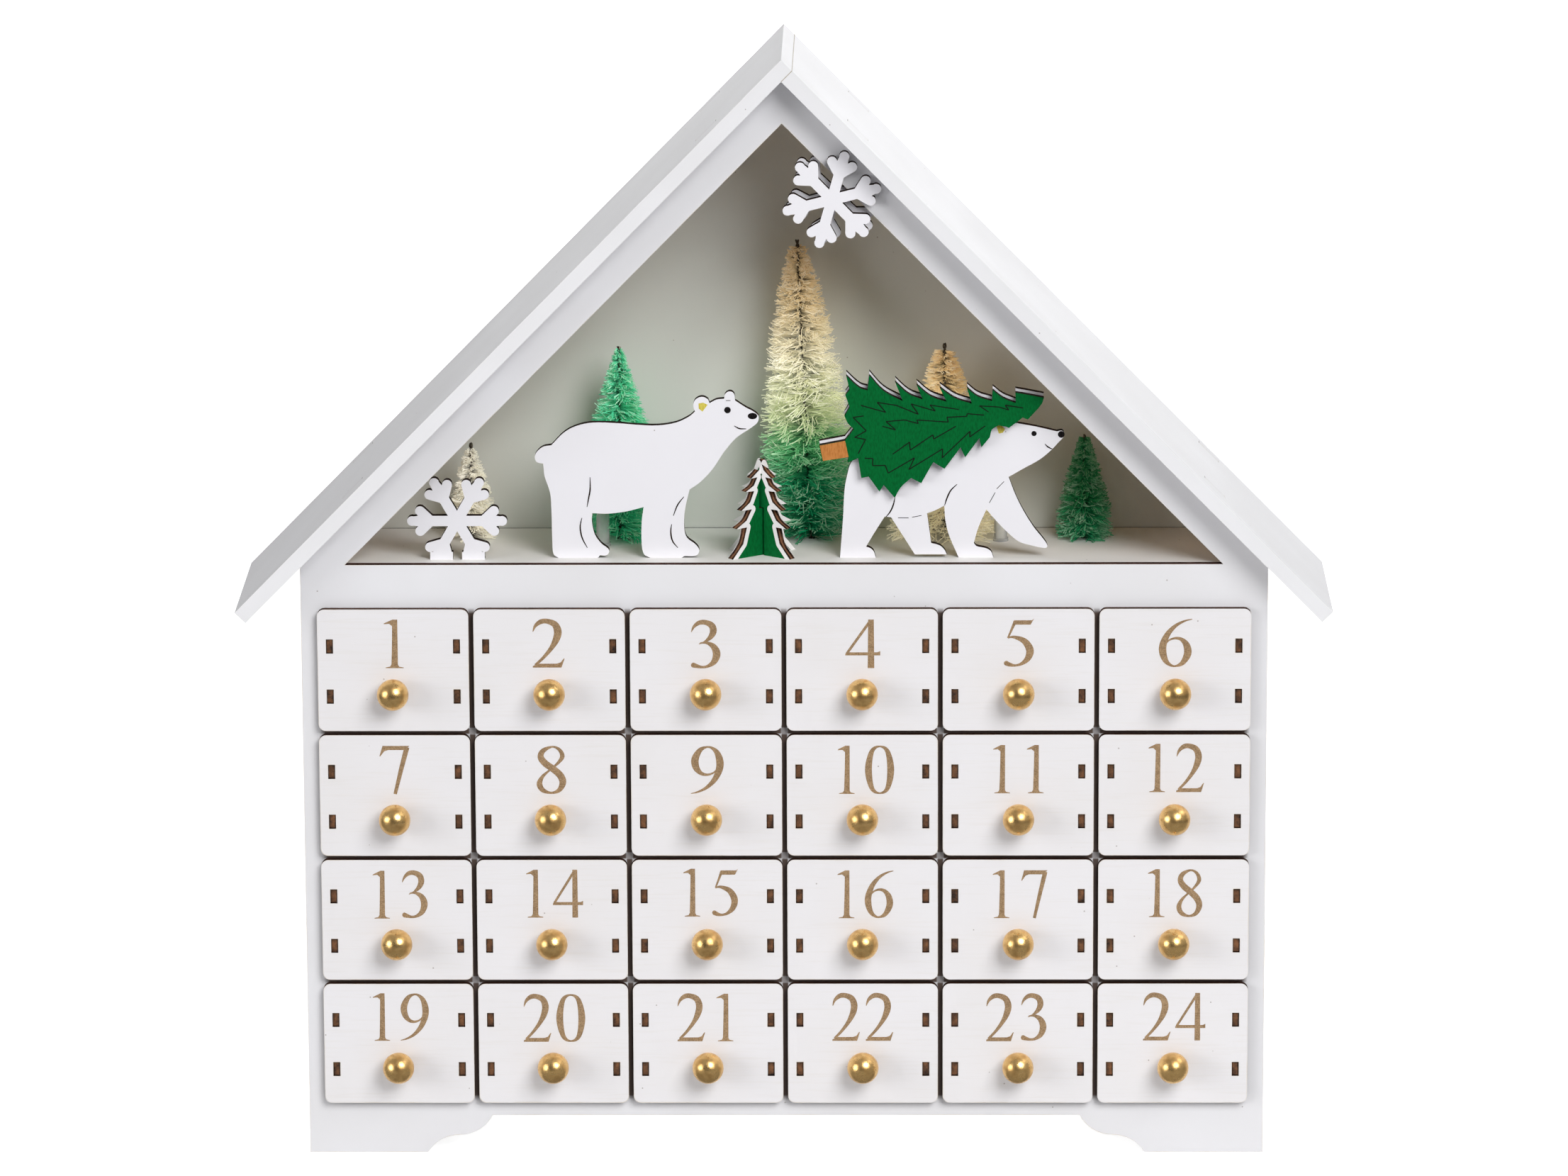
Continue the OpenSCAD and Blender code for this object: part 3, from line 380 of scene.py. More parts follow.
@makes_material
def bare_inside(tree):
    """Underside of the roof: white on the overhangs, and bare board between the panels."""
    axes = here_axes(tree)
    room = (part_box("front_panel")[1].y, back_y)
    off = calc(tree, "ABSOLUTE", calc(tree, "SUBTRACT", axes[1], sum(room) / 2))
    half = (room[1] - room[0]) / 2
    wall_inside, wall_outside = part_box("side_wall_right")
    within = spread(tree, calc(tree, "ABSOLUTE", axes[0]), wall_outside.x, wall_inside.x)
    bare = product(tree, spread(tree, off, half + spray_fade, half), within)
    fibres = noise(tree, 1800, 3)
    board = mix(tree, fibres, bare_board, bare_streak)
    return {
        "Base Color": mix(tree, bare, roof_white, board),
        "Normal": bumped(tree, fibres, fibre_depth),
        "Roughness": 0.7,
    }


roof_under = bare_inside("roof_under")
for name in ("roof_left", "roof_right"):
    dress(name, lambda face: int(face.normal.z < -0.5), roof_paint, roof_under)

# Drawers: a box of 2 mm plywood whose sides end in two tabs each, which pass through a
# 2.5 mm painted front. The turned knob is gilded and pegged into the front.
front_white = (233, 232, 236)
front_shadow = (222, 218, 215)
ply_pale = (214, 180, 138)
ply_dark = (176, 136, 94)
tab_dark = (24, 13, 9)
tab_light = (140, 92, 54)
tab_char = (26, 14, 10)
gold = (240, 198, 130)
gold_dark = (176, 126, 66)
knob_reach = 10.6 * mm
front_t = 2.5 * mm
front_core = 0.4 * mm
box_drop = 4 * mm
char_w = 0.7 * mm
pore_depth = 0.04 * mm
dent_depth = 0.08 * mm
tiny = 0.02 * mm
drawer_names = sorted(name for name in nodes if name.startswith("drawer_"))


def make_wood_grain(tree, _):
    """Bare wood: long streaks along Y, and fine pores in them."""
    run = stretched(tree, (1, 0.06, 1))
    streaks = noise(tree, 420, 4, run)
    pores = noise(tree, 2400, place=run)
    tone = calc(tree, "MULTIPLY_ADD", pores, 0.3, product(tree, streaks, 0.8))
    return {"Tone": tone, "Height": pores}


wood_grain = shader_group("wood_grain", make_wood_grain)


@makes_material
def bare_wood(tree, pale, dark, char=scorch_light):
    surface = use_group(tree, wood_grain)
    edge = use_group(tree, laser_edge, Width=char_w)["Edge"]
    tone = mix(tree, spread(tree, surface["Tone"], 0.35, 0.75), pale, dark)
    return {
        "Base Color": mix(tree, product(tree, edge, 0.8), tone, char),
        "Normal": bumped(tree, surface["Height"], pore_depth),
        "Roughness": 0.65,
    }


@makes_material
def gilding(tree):
    """Gold paint on a turned ball: uneven gloss, faint dents and rubbed darker places."""
    patches = noise(tree, 330, 3)
    grains = noise(tree, 2600)
    rubbed = product(tree, spread(tree, patches, 0.48, 0.68), 0.45)
    gloss = spread(tree, patches, 0.3, 0.7, 0.2, 0.3)
    return {
        "Base Color": mix(tree, rubbed, gold, gold_dark),
        "Roughness": calc(tree, "MULTIPLY_ADD", grains, 0.1, gloss),
        "Normal": bumped(tree, calc(tree, "MULTIPLY_ADD", grains, 0.3, patches), dent_depth),
        "Metallic": 1.0,
    }


front_face_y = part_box("drawer_01")[0].y + knob_reach
front_paint = white_paint(
    "front_paint", front_white, front_shadow, grain=0.45, fringe=0.7 * mm, toning=0.75
)
front_cut = scorched_wood("front_cut", (0, 1, 0), front_face_y + front_t / 2, front_core)
tab_end = bare_wood("tab_end", tab_light, tab_dark, tab_char)
box_ply = bare_wood("box_ply", ply_pale, ply_dark)
box_rim = scorched_wood("box_rim", (0, 0, 1), 0, 0)
knob_gold = gilding("knob_gold")


def drawer_part(face, box_top):
    """The finish of a face of a drawer, by where it lies on the pieces."""
    y = face.center.y
    if y < front_face_y - tiny:
        return 5
    if y > front_face_y + front_t + tiny:
        return 4 if face.normal.z > 0.7 and face.center.z > box_top - tiny else 3
    if face.normal.y > 0.7:
        return 3
    if face.normal.y < -0.7:
        return 0 if y < front_face_y + tiny else 2
    return 1


finishes = (front_paint, front_cut, tab_end, box_ply, box_rim, knob_gold)
for name in drawer_names:
    box_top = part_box(name)[1].z - box_drop
    dress(name, lambda face: drawer_part(face, box_top), *finishes)

# Numerals: 1 to 24 in bronze ink on the fronts, 16.4 mm high, with the thick and thin strokes
# of a broad pen. The ink stands up a hair, and has a metallic speckle.
# Strokes are points with a width, as shares of the digit's height; solids are outlines.
digit_h = 16.4
digit_drop = 3.4 * mm
print_slip = 0.35
print_seed = 12
digit_pitch = 11.1
pair_share = 0.87
pen_share = 1.14
ink_lift = 0.05
ink_sink = 0.02
ink_bronze = (190, 159, 122)
ink_dark = (152, 124, 92)
digit_wide_shares = {
    "0": 0.655, "1": 0.4, "2": 0.64, "3": 0.6, "4": 0.7,
    "5": 0.61, "6": 0.67, "7": 0.61, "8": 0.6, "9": 0.67,
}
six_shares = [
    (0.665, 0.99, 0.012), (0.52, 0.955, 0.032), (0.34, 0.86, 0.06), (0.18, 0.69, 0.095),
    (0.088, 0.48, 0.125), (0.08, 0.31, 0.13), (0.135, 0.14, 0.095), (0.235, 0.045, 0.05),
    (0.34, 0.025, 0.035), (0.475, 0.09, 0.085), (0.575, 0.27, 0.13), (0.56, 0.44, 0.12),
    (0.47, 0.56, 0.075), (0.345, 0.6, 0.045), (0.21, 0.56, 0.03), (0.12, 0.46, 0.02),
]
nine_shares = [(0.67 - x, 1 - y, width) for x, y, width in six_shares]
ring_shares = {
    "0": [[
        (0.33, 0.985, 0.03), (0.15, 0.88, 0.09), (0.07, 0.5, 0.14), (0.15, 0.12, 0.09),
        (0.33, 0.015, 0.03), (0.51, 0.12, 0.09), (0.585, 0.5, 0.14), (0.51, 0.88, 0.09),
    ]],
    "8": [[
        (0.32, 0.978, 0.035), (0.14, 0.9, 0.085), (0.085, 0.77, 0.11), (0.17, 0.64, 0.12),
        (0.33, 0.52, 0.12), (0.47, 0.39, 0.125), (0.525, 0.24, 0.12), (0.45, 0.08, 0.08),
        (0.29, 0.022, 0.04), (0.12, 0.08, 0.085), (0.055, 0.21, 0.1), (0.12, 0.36, 0.06),
        (0.27, 0.5, 0.035), (0.43, 0.64, 0.05), (0.52, 0.78, 0.08), (0.46, 0.92, 0.06),
    ]],
}
stroke_shares = {
    "1": [[(0.235, 1, 0.09), (0.23, 0.5, 0.1), (0.22, 0, 0.115)]],
    "2": [[
        (0.01, 0.74, 0.012), (0.06, 0.86, 0.055), (0.17, 0.945, 0.085), (0.3, 0.955, 0.09),
        (0.45, 0.89, 0.115), (0.51, 0.745, 0.135), (0.475, 0.58, 0.12), (0.375, 0.4, 0.08),
        (0.22, 0.21, 0.055), (0.05, 0.05, 0.045),
    ]],
    "3": [[
        (0.02, 0.76, 0.012), (0.075, 0.87, 0.05), (0.18, 0.95, 0.08), (0.31, 0.955, 0.09),
        (0.43, 0.89, 0.115), (0.46, 0.77, 0.12), (0.4, 0.65, 0.085), (0.28, 0.555, 0.03),
        (0.17, 0.51, 0.012),
    ], [
        (0.19, 0.53, 0.02), (0.33, 0.535, 0.05), (0.465, 0.455, 0.105), (0.525, 0.31, 0.135),
        (0.475, 0.15, 0.105), (0.35, 0.055, 0.055), (0.23, 0.035, 0.045), (0.13, 0.055, 0.07),
        (0.06, 0.075, 0.09),
    ]],
    "4": [[(0.515, 1, 0.1), (0.515, 0, 0.115)], [(0.5, 0.97, 0.05), (0.03, 0.3, 0.045)]],
    "5": [[(0.235, 0.95, 0.06), (0.15, 0.75, 0.04), (0.085, 0.6, 0.03)], [
        (0.085, 0.6, 0.02), (0.2, 0.62, 0.05), (0.41, 0.54, 0.105), (0.525, 0.36, 0.135),
        (0.49, 0.19, 0.11), (0.37, 0.075, 0.06), (0.24, 0.035, 0.04), (0.13, 0.05, 0.07),
        (0.055, 0.08, 0.085),
    ]],
    "6": [six_shares],
    "7": [[(0.555, 0.97, 0.09), (0.43, 0.5, 0.078), (0.305, 0, 0.058)]],
    "9": [nine_shares],
}
solid_shares = {
    "1": [[(0.01, 0.905), (0.02, 0.925), (0.19, 1), (0.28, 1), (0.19, 0.86), (0.12, 0.915)], [
        (0.04, 0), (0.4, 0), (0.4, 0.014), (0.31, 0.03), (0.28, 0.08), (0.16, 0.08),
        (0.13, 0.03), (0.04, 0.014),
    ]],
    "2": [[
        (0, 0), (0.575, 0), (0.64, 0.185), (0.62, 0.185), (0.56, 0.105), (0.48, 0.08),
        (0.12, 0.08), (0, 0.03),
    ]],
    "4": [[(0, 0.262), (0, 0.295), (0.03, 0.325), (0.64, 0.325), (0.7, 0.35), (0.7, 0.262)]],
    "5": [[(0.215, 0.965), (0.57, 0.965), (0.61, 1), (0.54, 0.875), (0.24, 0.875)]],
    "7": [[(0, 0.785), (0.02, 0.785), (0.1, 0.89), (0.18, 0.915), (0.5, 0.915), (0.61, 1), (0.065, 1)]],
}


def ribbon(points, closed=False, steps=6):
    """Triangles along a smooth line through points whose third value is the line's width."""
    count = len(points)

    def at(i):
        return Vector(points[i % count] if closed else points[max(0, min(count - 1, i))])

    path = []
    for i in range(count if closed else count - 1):
        a, b, c, d = at(i - 1), at(i), at(i + 1), at(i + 2)
        for k in range(steps):
            t = k / steps
            bend = a - 2.5 * b + 2 * c - 0.5 * d
            twist = 1.5 * (b - c) + 0.5 * (d - a)
            path.append(b + 0.5 * (c - a) * t + bend * t * t + twist * t ** 3)
    path.append(path[0] if closed else at(count - 1))
    last = len(path) - 1
    sides = []
    for i, point in enumerate(path):
        before = path[(i - 1) % last] if closed else path[max(0, i - 1)]
        after = path[(i + 1) % last] if closed else path[min(last, i + 1)]
        run = (after - before).to_2d().normalized()
        off = Vector((-run.y, run.x)) * point.z / 2
        sides.append((point.to_2d() + off, point.to_2d() - off))
    cells = []
    for (a, b), (c, d) in zip(sides, sides[1:]):
        cells += [[a, b, d], [a, d, c]]
    return cells


def disc(x, y, radius_x, radius_y=None, corners=28):
    """Outline of a disc or an oval."""
    angles = [math.tau * k / corners for k in range(corners)]
    radius_y = radius_y or radius_x
    return [[Vector((x + radius_x * math.cos(a), y + radius_y * math.sin(a))) for a in angles]]


def area(shape):
    return sum(a.x * b.y - b.x * a.y for a, b in zip(shape, shape[1:] + shape[:1])) / 2


def mesh_object(name, mesh, material):
    data = bpy.data.meshes.new(name)
    mesh.to_mesh(data)
    mesh.free()
    data.materials.append(material)
    return new_object(name, data)


def new_piece(name, mesh, material, body="house"):
    piece = mesh_object(name, mesh, material)
    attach(piece, body)
    return piece


def plate(name, shapes, placing, material, body="house", inside=None):
    """A thin raised film over flat shapes in millimetres, cut off outside the shape inside."""
    corners = []
    rounds = []
    for shape in ([inside] if inside else []) + shapes:
        turned = area(shape)
        if abs(turned) > 1e-7:
            rounds.append(list(range(len(corners), len(corners) + len(shape))))
            corners += shape if turned > 0 else shape[::-1]
    flat, _, cells, _, _, owners = delaunay_2d_cdt(corners, [], rounds, 1, 1e-5)
    kept = [cell for cell, owner in zip(cells, owners) if owner]
    if inside:
        kept = [cell for cell, owner in zip(cells, owners) if 0 in owner and len(set(owner)) > 1]
    mesh = bmesh.new()
    used = sorted({i for cell in kept for i in cell})
    tops = {i: mesh.verts.new(placing @ Vector((*flat[i], ink_lift))) for i in used}
    feet = {i: mesh.verts.new(placing @ Vector((*flat[i], -ink_sink))) for i in used}
    rims = set()
    for cell in kept:
        mesh.faces.new([tops[i] for i in cell])
        mesh.faces.new([feet[i] for i in reversed(cell)])
        rims.update(zip(cell, cell[1:] + cell[:1]))
    for a, b in sorted(rims):
        if (b, a) not in rims:
            mesh.faces.new([tops[a], feet[a], feet[b], tops[b]])
    return new_piece(name, mesh, material, body)


def facing_front(x, y, z, turn=0.0):
    """Placing for a drawing in millimetres on an upright face that looks to the front."""
    spot = Matrix.Translation((x, y, z)) @ Matrix.Rotation(turn, 4, "Z")
    return spot @ Matrix.Rotation(math.pi / 2, 4, "X") @ Matrix.Scale(mm, 4)


def digit(figure, left, wide):
    """Shapes of one digit that starts at left; wide narrows it in a two-figure number."""
    shapes = []
    for shares, closed in ((stroke_shares, False), (ring_shares, True)):
        for points in shares.get(figure, []):
            shapes += ribbon([(x, y, pen_share * w) for x, y, w in points], closed)
    for points in solid_shares.get(figure, []):
        shapes.append([Vector(point) for point in points])
    if figure in "35":
        x, y, width = stroke_shares[figure][1][-1]
        shapes += disc(x, y, pen_share * width / 2)
    return [[Vector((left + p.x * digit_h * wide, p.y * digit_h)) for p in shape] for shape in shapes]


@makes_material
def bronze_ink(tree):
    speckle = noise(tree, 2300, 3)
    worn = noise(tree, 500)
    tone = spread(tree, calc(tree, "MULTIPLY_ADD", worn, 0.4, speckle), 0.55, 0.85)
    return {
        "Base Color": mix(tree, tone, ink_bronze, ink_dark),
        "Roughness": spread(tree, speckle, 0.3, 0.7, 0.35, 0.6),
        "Metallic": 0.35,
    }


numeral_ink = bronze_ink("numeral_ink")
slips = random.Random(print_seed)
for name in drawer_names:
    low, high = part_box(name)
    figures = str(int(name[-2:]))
    wide = pair_share if len(figures) == 2 else 1.0
    shapes = []
    for k, figure in enumerate(figures):
        own_w = digit_wide_shares[figure] * digit_h * wide
        middle = (k - (len(figures) - 1) / 2) * digit_pitch
        shapes += digit(figure, middle - own_w / 2, wide)
    base_z = high.z - digit_drop - digit_h * mm + slips.uniform(-print_slip, print_slip) * mm
    middle_x = (low.x + high.x) / 2 + slips.uniform(-print_slip, print_slip) * mm
    spot = facing_front(middle_x, front_face_y, base_z)
    plate("numeral_" + name[-2:], shapes, spot, numeral_ink, name)

# Bears: 2.8 mm plywood figures, painted white and cut by laser, and glued upright on the floor.
# Their joints and mouths are engraved lines, and eyes, noses and ears are painted on.
figure_white = (236, 235, 240)
figure_shadow = (226, 224, 228)
engraved = (52, 40, 36)
black_paint = (20, 17, 18)
black_dim = (34, 30, 30)
ear_yellow = (214, 200, 92)
ear_dim = (190, 172, 66)
line_w = 0.44
line_end_share = 0.45
figure_t = 2.8 * mm
figure_core = 0.35 * mm
figure_cut_light = (46, 22, 17)
brush_depth = 0.03 * mm


@makes_material
def paint(tree, base, dim, roughness=0.45, shine=0.15):
    """Hand-laid paint with a faint brush tone."""
    tone = noise(tree, 2300, 3, stretched(tree, (1, 1, 0.3)))
    return {
        "Base Color": mix(tree, spread(tree, tone, 0.4, 0.7), base, dim),
        "Roughness": spread(tree, tone, 0.3, 0.7, roughness - 0.06, roughness + 0.1),
        "Normal": bumped(tree, tone, brush_depth),
        "Specular IOR Level": shine,
    }


figure_paint = white_paint("figure_paint", figure_white, figure_shadow, fringe=0.35 * mm, toning=0.35)
engraved_line = paint("engraved_line", engraved, scorch_dark, 0.8)
gloss_black = paint("gloss_black", black_paint, black_dim, 0.25)
ear_paint = paint("ear_paint", ear_yellow, ear_dim)


def cut_figure(name, coat):
    """Paints a flat figure's faces and scorches its cut edges."""
    low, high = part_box(name)
    middle = (low.y + high.y) / 2
    edge = scorched_wood(name + "_cut", (0, 1, 0), middle, figure_core, light=figure_cut_light)
    dress(name, cut_across(1), coat, edge)
    return facing_front(low.x, low.y, low.z)


def tapered(points):
    """Triangles of an engraved line that thins out at both ends."""
    widths = [line_w] * len(points)
    widths[0] = widths[-1] = line_w * line_end_share
    return ribbon([(*point, width) for point, width in zip(points, widths)])


def draw_bear(name, lines, dots, ear):
    """Paints a bear, and draws its engraved lines, its eye and nose, and its ear."""
    spot = cut_figure(name, figure_paint)
    plate(name + "_lines", [cell for line in lines for cell in tapered(line)], spot, engraved_line)
    plate(name + "_eye_and_nose", dots, spot, gloss_black)
    plate(name + "_ear", [[Vector(p) for p in ear]], spot, ear_paint)


standing_lines = [
    [(18.1, 27.2), (18.1, 23.3), (17.6, 20.3), (17, 17.2)],
    [(15.3, 13.5), (14.7, 10.5), (15.3, 6.8), (17, 3.4)],
    [(48.9, 20.6), (46.8, 17.8), (45.4, 14.2)],
    [(44.8, 11.3), (44.5, 8.7), (45.1, 5.6), (46.8, 3.4)],
    [(65.6, 44.4), (67.3, 43.5), (69.5, 43.4)],
    [(62.9, 52.9), (64.4, 52.9)],
]
standing_dots = disc(63.4, 49.7, 1.07) + disc(71.6, 47.7, 1.55, 1.05)
standing_ear = [(53.9, 51.9), (55.4, 52.2), (56.9, 51.5), (55.2, 49.2), (54, 50.2)]
draw_bear("standing_bear", standing_lines, standing_dots, standing_ear)
walking_lines = [
    [(24.8, 20.5), (24.3, 18), (23.3, 15.6), (21.9, 13.8)],
    [(25.8, 13.4), (29.3, 13.4)],
    [(30.4, 13.6), (33.5, 14.2)],
    [(45.2, 24.7), (43.1, 22.6), (41.8, 19.8), (41.1, 17.5)],
    [(60.6, 25.6), (58.2, 23.1)],
    [(57.7, 21.9), (55.8, 18.4)],
    [(74, 38.2), (75, 37.2), (76.4, 36.5)],
]
walking_dots = disc(70.4, 41.7, 0.85) + disc(79.35, 41.4, 1.1)
walking_ear = [(58, 44.4), (59.3, 44.9), (60.9, 43.2), (60.2, 42), (58.9, 41.7)]
draw_bear("walking_bear", walking_lines, walking_dots, walking_ear)

# Joint of the roof boards: the left board laps over the end of the right one and is glued, and a fine line
# of painted shade marks the joint's narrow gap beside the ridge and across the front edge.
joint_w = 0.3
joint_shade_tone = (196, 190, 181)
joint_shade_dark = (168, 158, 146)


def stroke(start, end, width):
    """Triangles of one straight line."""
    return ribbon([(*start, width), (*end, width)], steps=1)


joint_line = paint("joint_line", joint_shade_tone, joint_shade_dark, 0.7)
left_board, right_board = (nodes[name].data.vertices for name in ("roof_left", "roof_right"))
joint = max((corner.co for corner in left_board), key=lambda place: place.x)
apex_under = min((corner.co for corner in right_board), key=lambda place: place.x)
roof_low, roof_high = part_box("roof_left")
down_slope = Vector((joint.x - apex_under.x, 0, apex_under.z - joint.z)).normalized()
rearward = Vector((0, 1, 0))
along_joint = Matrix((down_slope, rearward, down_slope.cross(rearward))).transposed().to_4x4()
joint_l = (roof_high.y - roof_low.y) / mm
top_spot = Matrix.Translation((joint.x, roof_low.y, joint.z)) @ along_joint @ Matrix.Scale(mm, 4)
plate("roof_joint_shade_top", stroke((0, 0), (0, joint_l), joint_w), top_spot, joint_line)
front_run = ((apex_under.x - joint.x) / mm, (apex_under.z - joint.z) / mm)
front_spot = facing_front(joint.x, roof_low.y, joint.z)
plate("roof_joint_shade_front", stroke((0, 0), front_run, joint_w), front_spot, joint_line)

# Seam: the scene floor is glued against the back panel, and a fine dark line of painted shade
# along its rear edge stands for the shade in the narrow gap there.
seam_w = 0.35
floor_low, floor_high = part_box("scene_floor")
seam_l = (floor_high.x - floor_low.x) / mm
seam_shape = [Vector(p) for p in ((0, -seam_w), (seam_l, -seam_w), (seam_l, 0), (0, 0))]
seam_y = min(floor_high.y, back_y)
seam_spot = Matrix.Translation((floor_low.x, seam_y, floor_high.z)) @ Matrix.Scale(mm, 4)
plate("floor_seam_shade", [seam_shape], seam_spot, engraved_line)

# Carried tree: a second 2.8 mm layer on the walking bear, painted green with a brown trunk.
# The boughs are engraved as zigzag lines that run towards the tip.
fir_green = (2, 101, 47)
fir_dark = (2, 84, 38)
trunk_brown = (192, 126, 66)
trunk_dark = (172, 108, 52)
bough_line = (4, 26, 15)
bough_w = 0.34
trunk_shape = [Vector(p) for p in ((0.15, 38.35), (8.45, 39.95), (9.6, 34.5), (1.2, 33.2))]
boughs = [
    [
        (13.7, 51.8), (21.8, 49.5), (19, 52.8), (25.3, 51.8), (32.5, 48.8), (30.1, 52.3),
        (38, 49.9), (36.3, 51.9), (45.7, 50.4),
    ],
    [
        (20.7, 44.8), (25, 43.6), (21.9, 46.4), (28.1, 46.9), (32.5, 45.7), (32, 46.9),
        (42.3, 46.2), (41.8, 47.8), (48.3, 48.1), (48.5, 49), (54, 48.5),
    ],
    [(55.5, 49.5), (52.5, 51.6), (58.9, 51.2), (62.1, 50.2), (60.9, 51.8), (66.8, 50.9)],
    [(14.6, 48.3), (11.1, 47.8), (15.4, 43.3), (11.6, 41.1), (15.2, 40.4), (12.7, 35.6)],
    [(24, 35.4), (29.6, 39.5), (29.8, 36.8), (37.2, 41.9), (37.5, 40.5), (44.8, 44.8)],
    [
        (14.9, 34.1), (17.5, 34), (17.5, 31.6), (21.6, 31.7), (22.6, 29.1), (31.2, 34.2),
        (29.4, 30.3), (40.4, 37.2), (40.3, 34.2), (49.4, 43.1), (49.3, 41.2), (54.4, 44.9),
    ],
]
fir_paint = paint("fir_paint", fir_green, fir_dark, 0.6, 0.04)
trunk_paint = paint("trunk_paint", trunk_brown, trunk_dark, 0.55)
bough_ink = paint("bough_ink", bough_line, black_paint, 0.8)
cut_figure("carried_tree", fir_paint)
bear_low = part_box("walking_bear")[0]
tree_spot = facing_front(bear_low.x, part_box("carried_tree")[0].y, bear_low.z)
bough_cells = [
    cell
    for bough in boughs
    for start, end in zip(bough, bough[1:])
    for cell in stroke(start, end, bough_w)
]
plate("carried_tree_boughs", bough_cells, tree_spot, bough_ink)
plate("carried_tree_trunk", [trunk_shape], tree_spot, trunk_paint)

# Snowflakes: 2.8 mm plywood, white on the faces. One stands on the floor, and two hang from the
# window's rim, one glued before the panel and one behind it.
for name in ("standing_snowflake", "hanging_snowflake_front", "hanging_snowflake_rear"):
    cut_figure(name, figure_paint)

# Slotted tree: two 2.8 mm boards that cross in half slots, green with a white band of snow
# along the boughs on every face.
slot_tree_h = 32
slot_tree_w = 25.4
slot_tree_turn = 37
snow_band = 2.9
snow_white = (240, 238, 236)
slot_cut_light = (156, 108, 78)
slot_tree_shares = [
    (0.02, 1), (0.06, 0.985), (0.16, 0.895), (0.4, 0.822), (0.21, 0.826), (0.32, 0.745),
    (0.58, 0.69), (0.315, 0.686), (0.44, 0.575), (0.72, 0.498), (0.39, 0.498), (0.56, 0.388),
    (0.88, 0.314), (0.55, 0.317), (0.67, 0.148), (1, 0),
]
half_tree = [Vector((x * slot_tree_w / 2, y * slot_tree_h)) for x, y in slot_tree_shares]
other_half = [Vector((-p.x, p.y)) for p in half_tree]
tree_outline = half_tree + other_half[::-1]
snow_cells = [
    cell
    for side_points in (half_tree, other_half)
    for a, b in zip(side_points, side_points[1:])
    for cell in stroke(a, b, snow_band) + disc(b.x, b.y, snow_band / 2, corners=20)
]
snow_paint = white_paint("snow_paint", snow_white, figure_shadow, toning=0.2)
slot_paint = paint("slot_paint", fir_green, fir_dark, 0.6, 0.04)
for name, turn in (("slotted_tree_a", slot_tree_turn), ("slotted_tree_b", -slot_tree_turn)):
    low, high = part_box(name)
    middle = (low + high) / 2
    angle = math.radians(turn)
    across = Vector((-math.sin(angle), math.cos(angle), 0))
    edge = scorched_wood(name + "_cut", across, middle.dot(across), figure_core, light=slot_cut_light)
    dress(name, lambda face: int(abs(face.normal.dot(across)) < 0.7), slot_paint, edge)
    for word, flip, outward in (("front", 0, -1), ("rear", math.pi, 1)):
        out = across * (figure_t / 2) * outward
        spot = facing_front(middle.x + out.x, middle.y + out.y, low.z, angle + flip)
        snow = plate(name + "_snow_" + word, snow_cells, spot, snow_paint, inside=tree_outline)

# Brush trees: dyed sisal fibres held in a twisted pair of wires, and trimmed to a cone.
# The wire goes down into the scene floor, and its end stands out a little above the fibres.
# A tree's dye and its cone are given by height, as shares of the wire's length.
root_r = 0.16 * mm
tip_r = 0.15 * mm
tuft_strands = 4
wire_r = 0.36 * mm
wire_pitch = 4.2 * mm
wire_sides = 7
turn_steps = 14
wire_fill = 0.95
wire_dark = (104, 98, 86)
fan_turn = 0.6
tuft_bend = 0.07
tuft_lift = 0.08
strand_turn = 0.13
strand_bend = 0.035
strand_lift = 0.045
root_slip = 0.3
trim_low = 0.86
trim_high = 1.1
skirt_z = 1.0 * mm
wall_clear = 0.4 * mm
floor_clear = 0.3 * mm
kink_shares = (0.36, 0.7, 1)
# Painted shade and light along each strand: its tone rises from the root to the tip; tone_shares splits a
# tone into a random share per tuft, a random share per strand and this painted part.
light_shares = (0, 0.2, 0.65, 1)
tone_shares = (0.36, 0.22, 0.42)
brush_seed = 24
# Colours that strands are toned towards: pale for painted light on the tips, dark for painted shade at the
# roots, both also spread by the random tone.
fibre_lit_pale = (255, 253, 238)
fibre_shade_dark = (10, 14, 8)
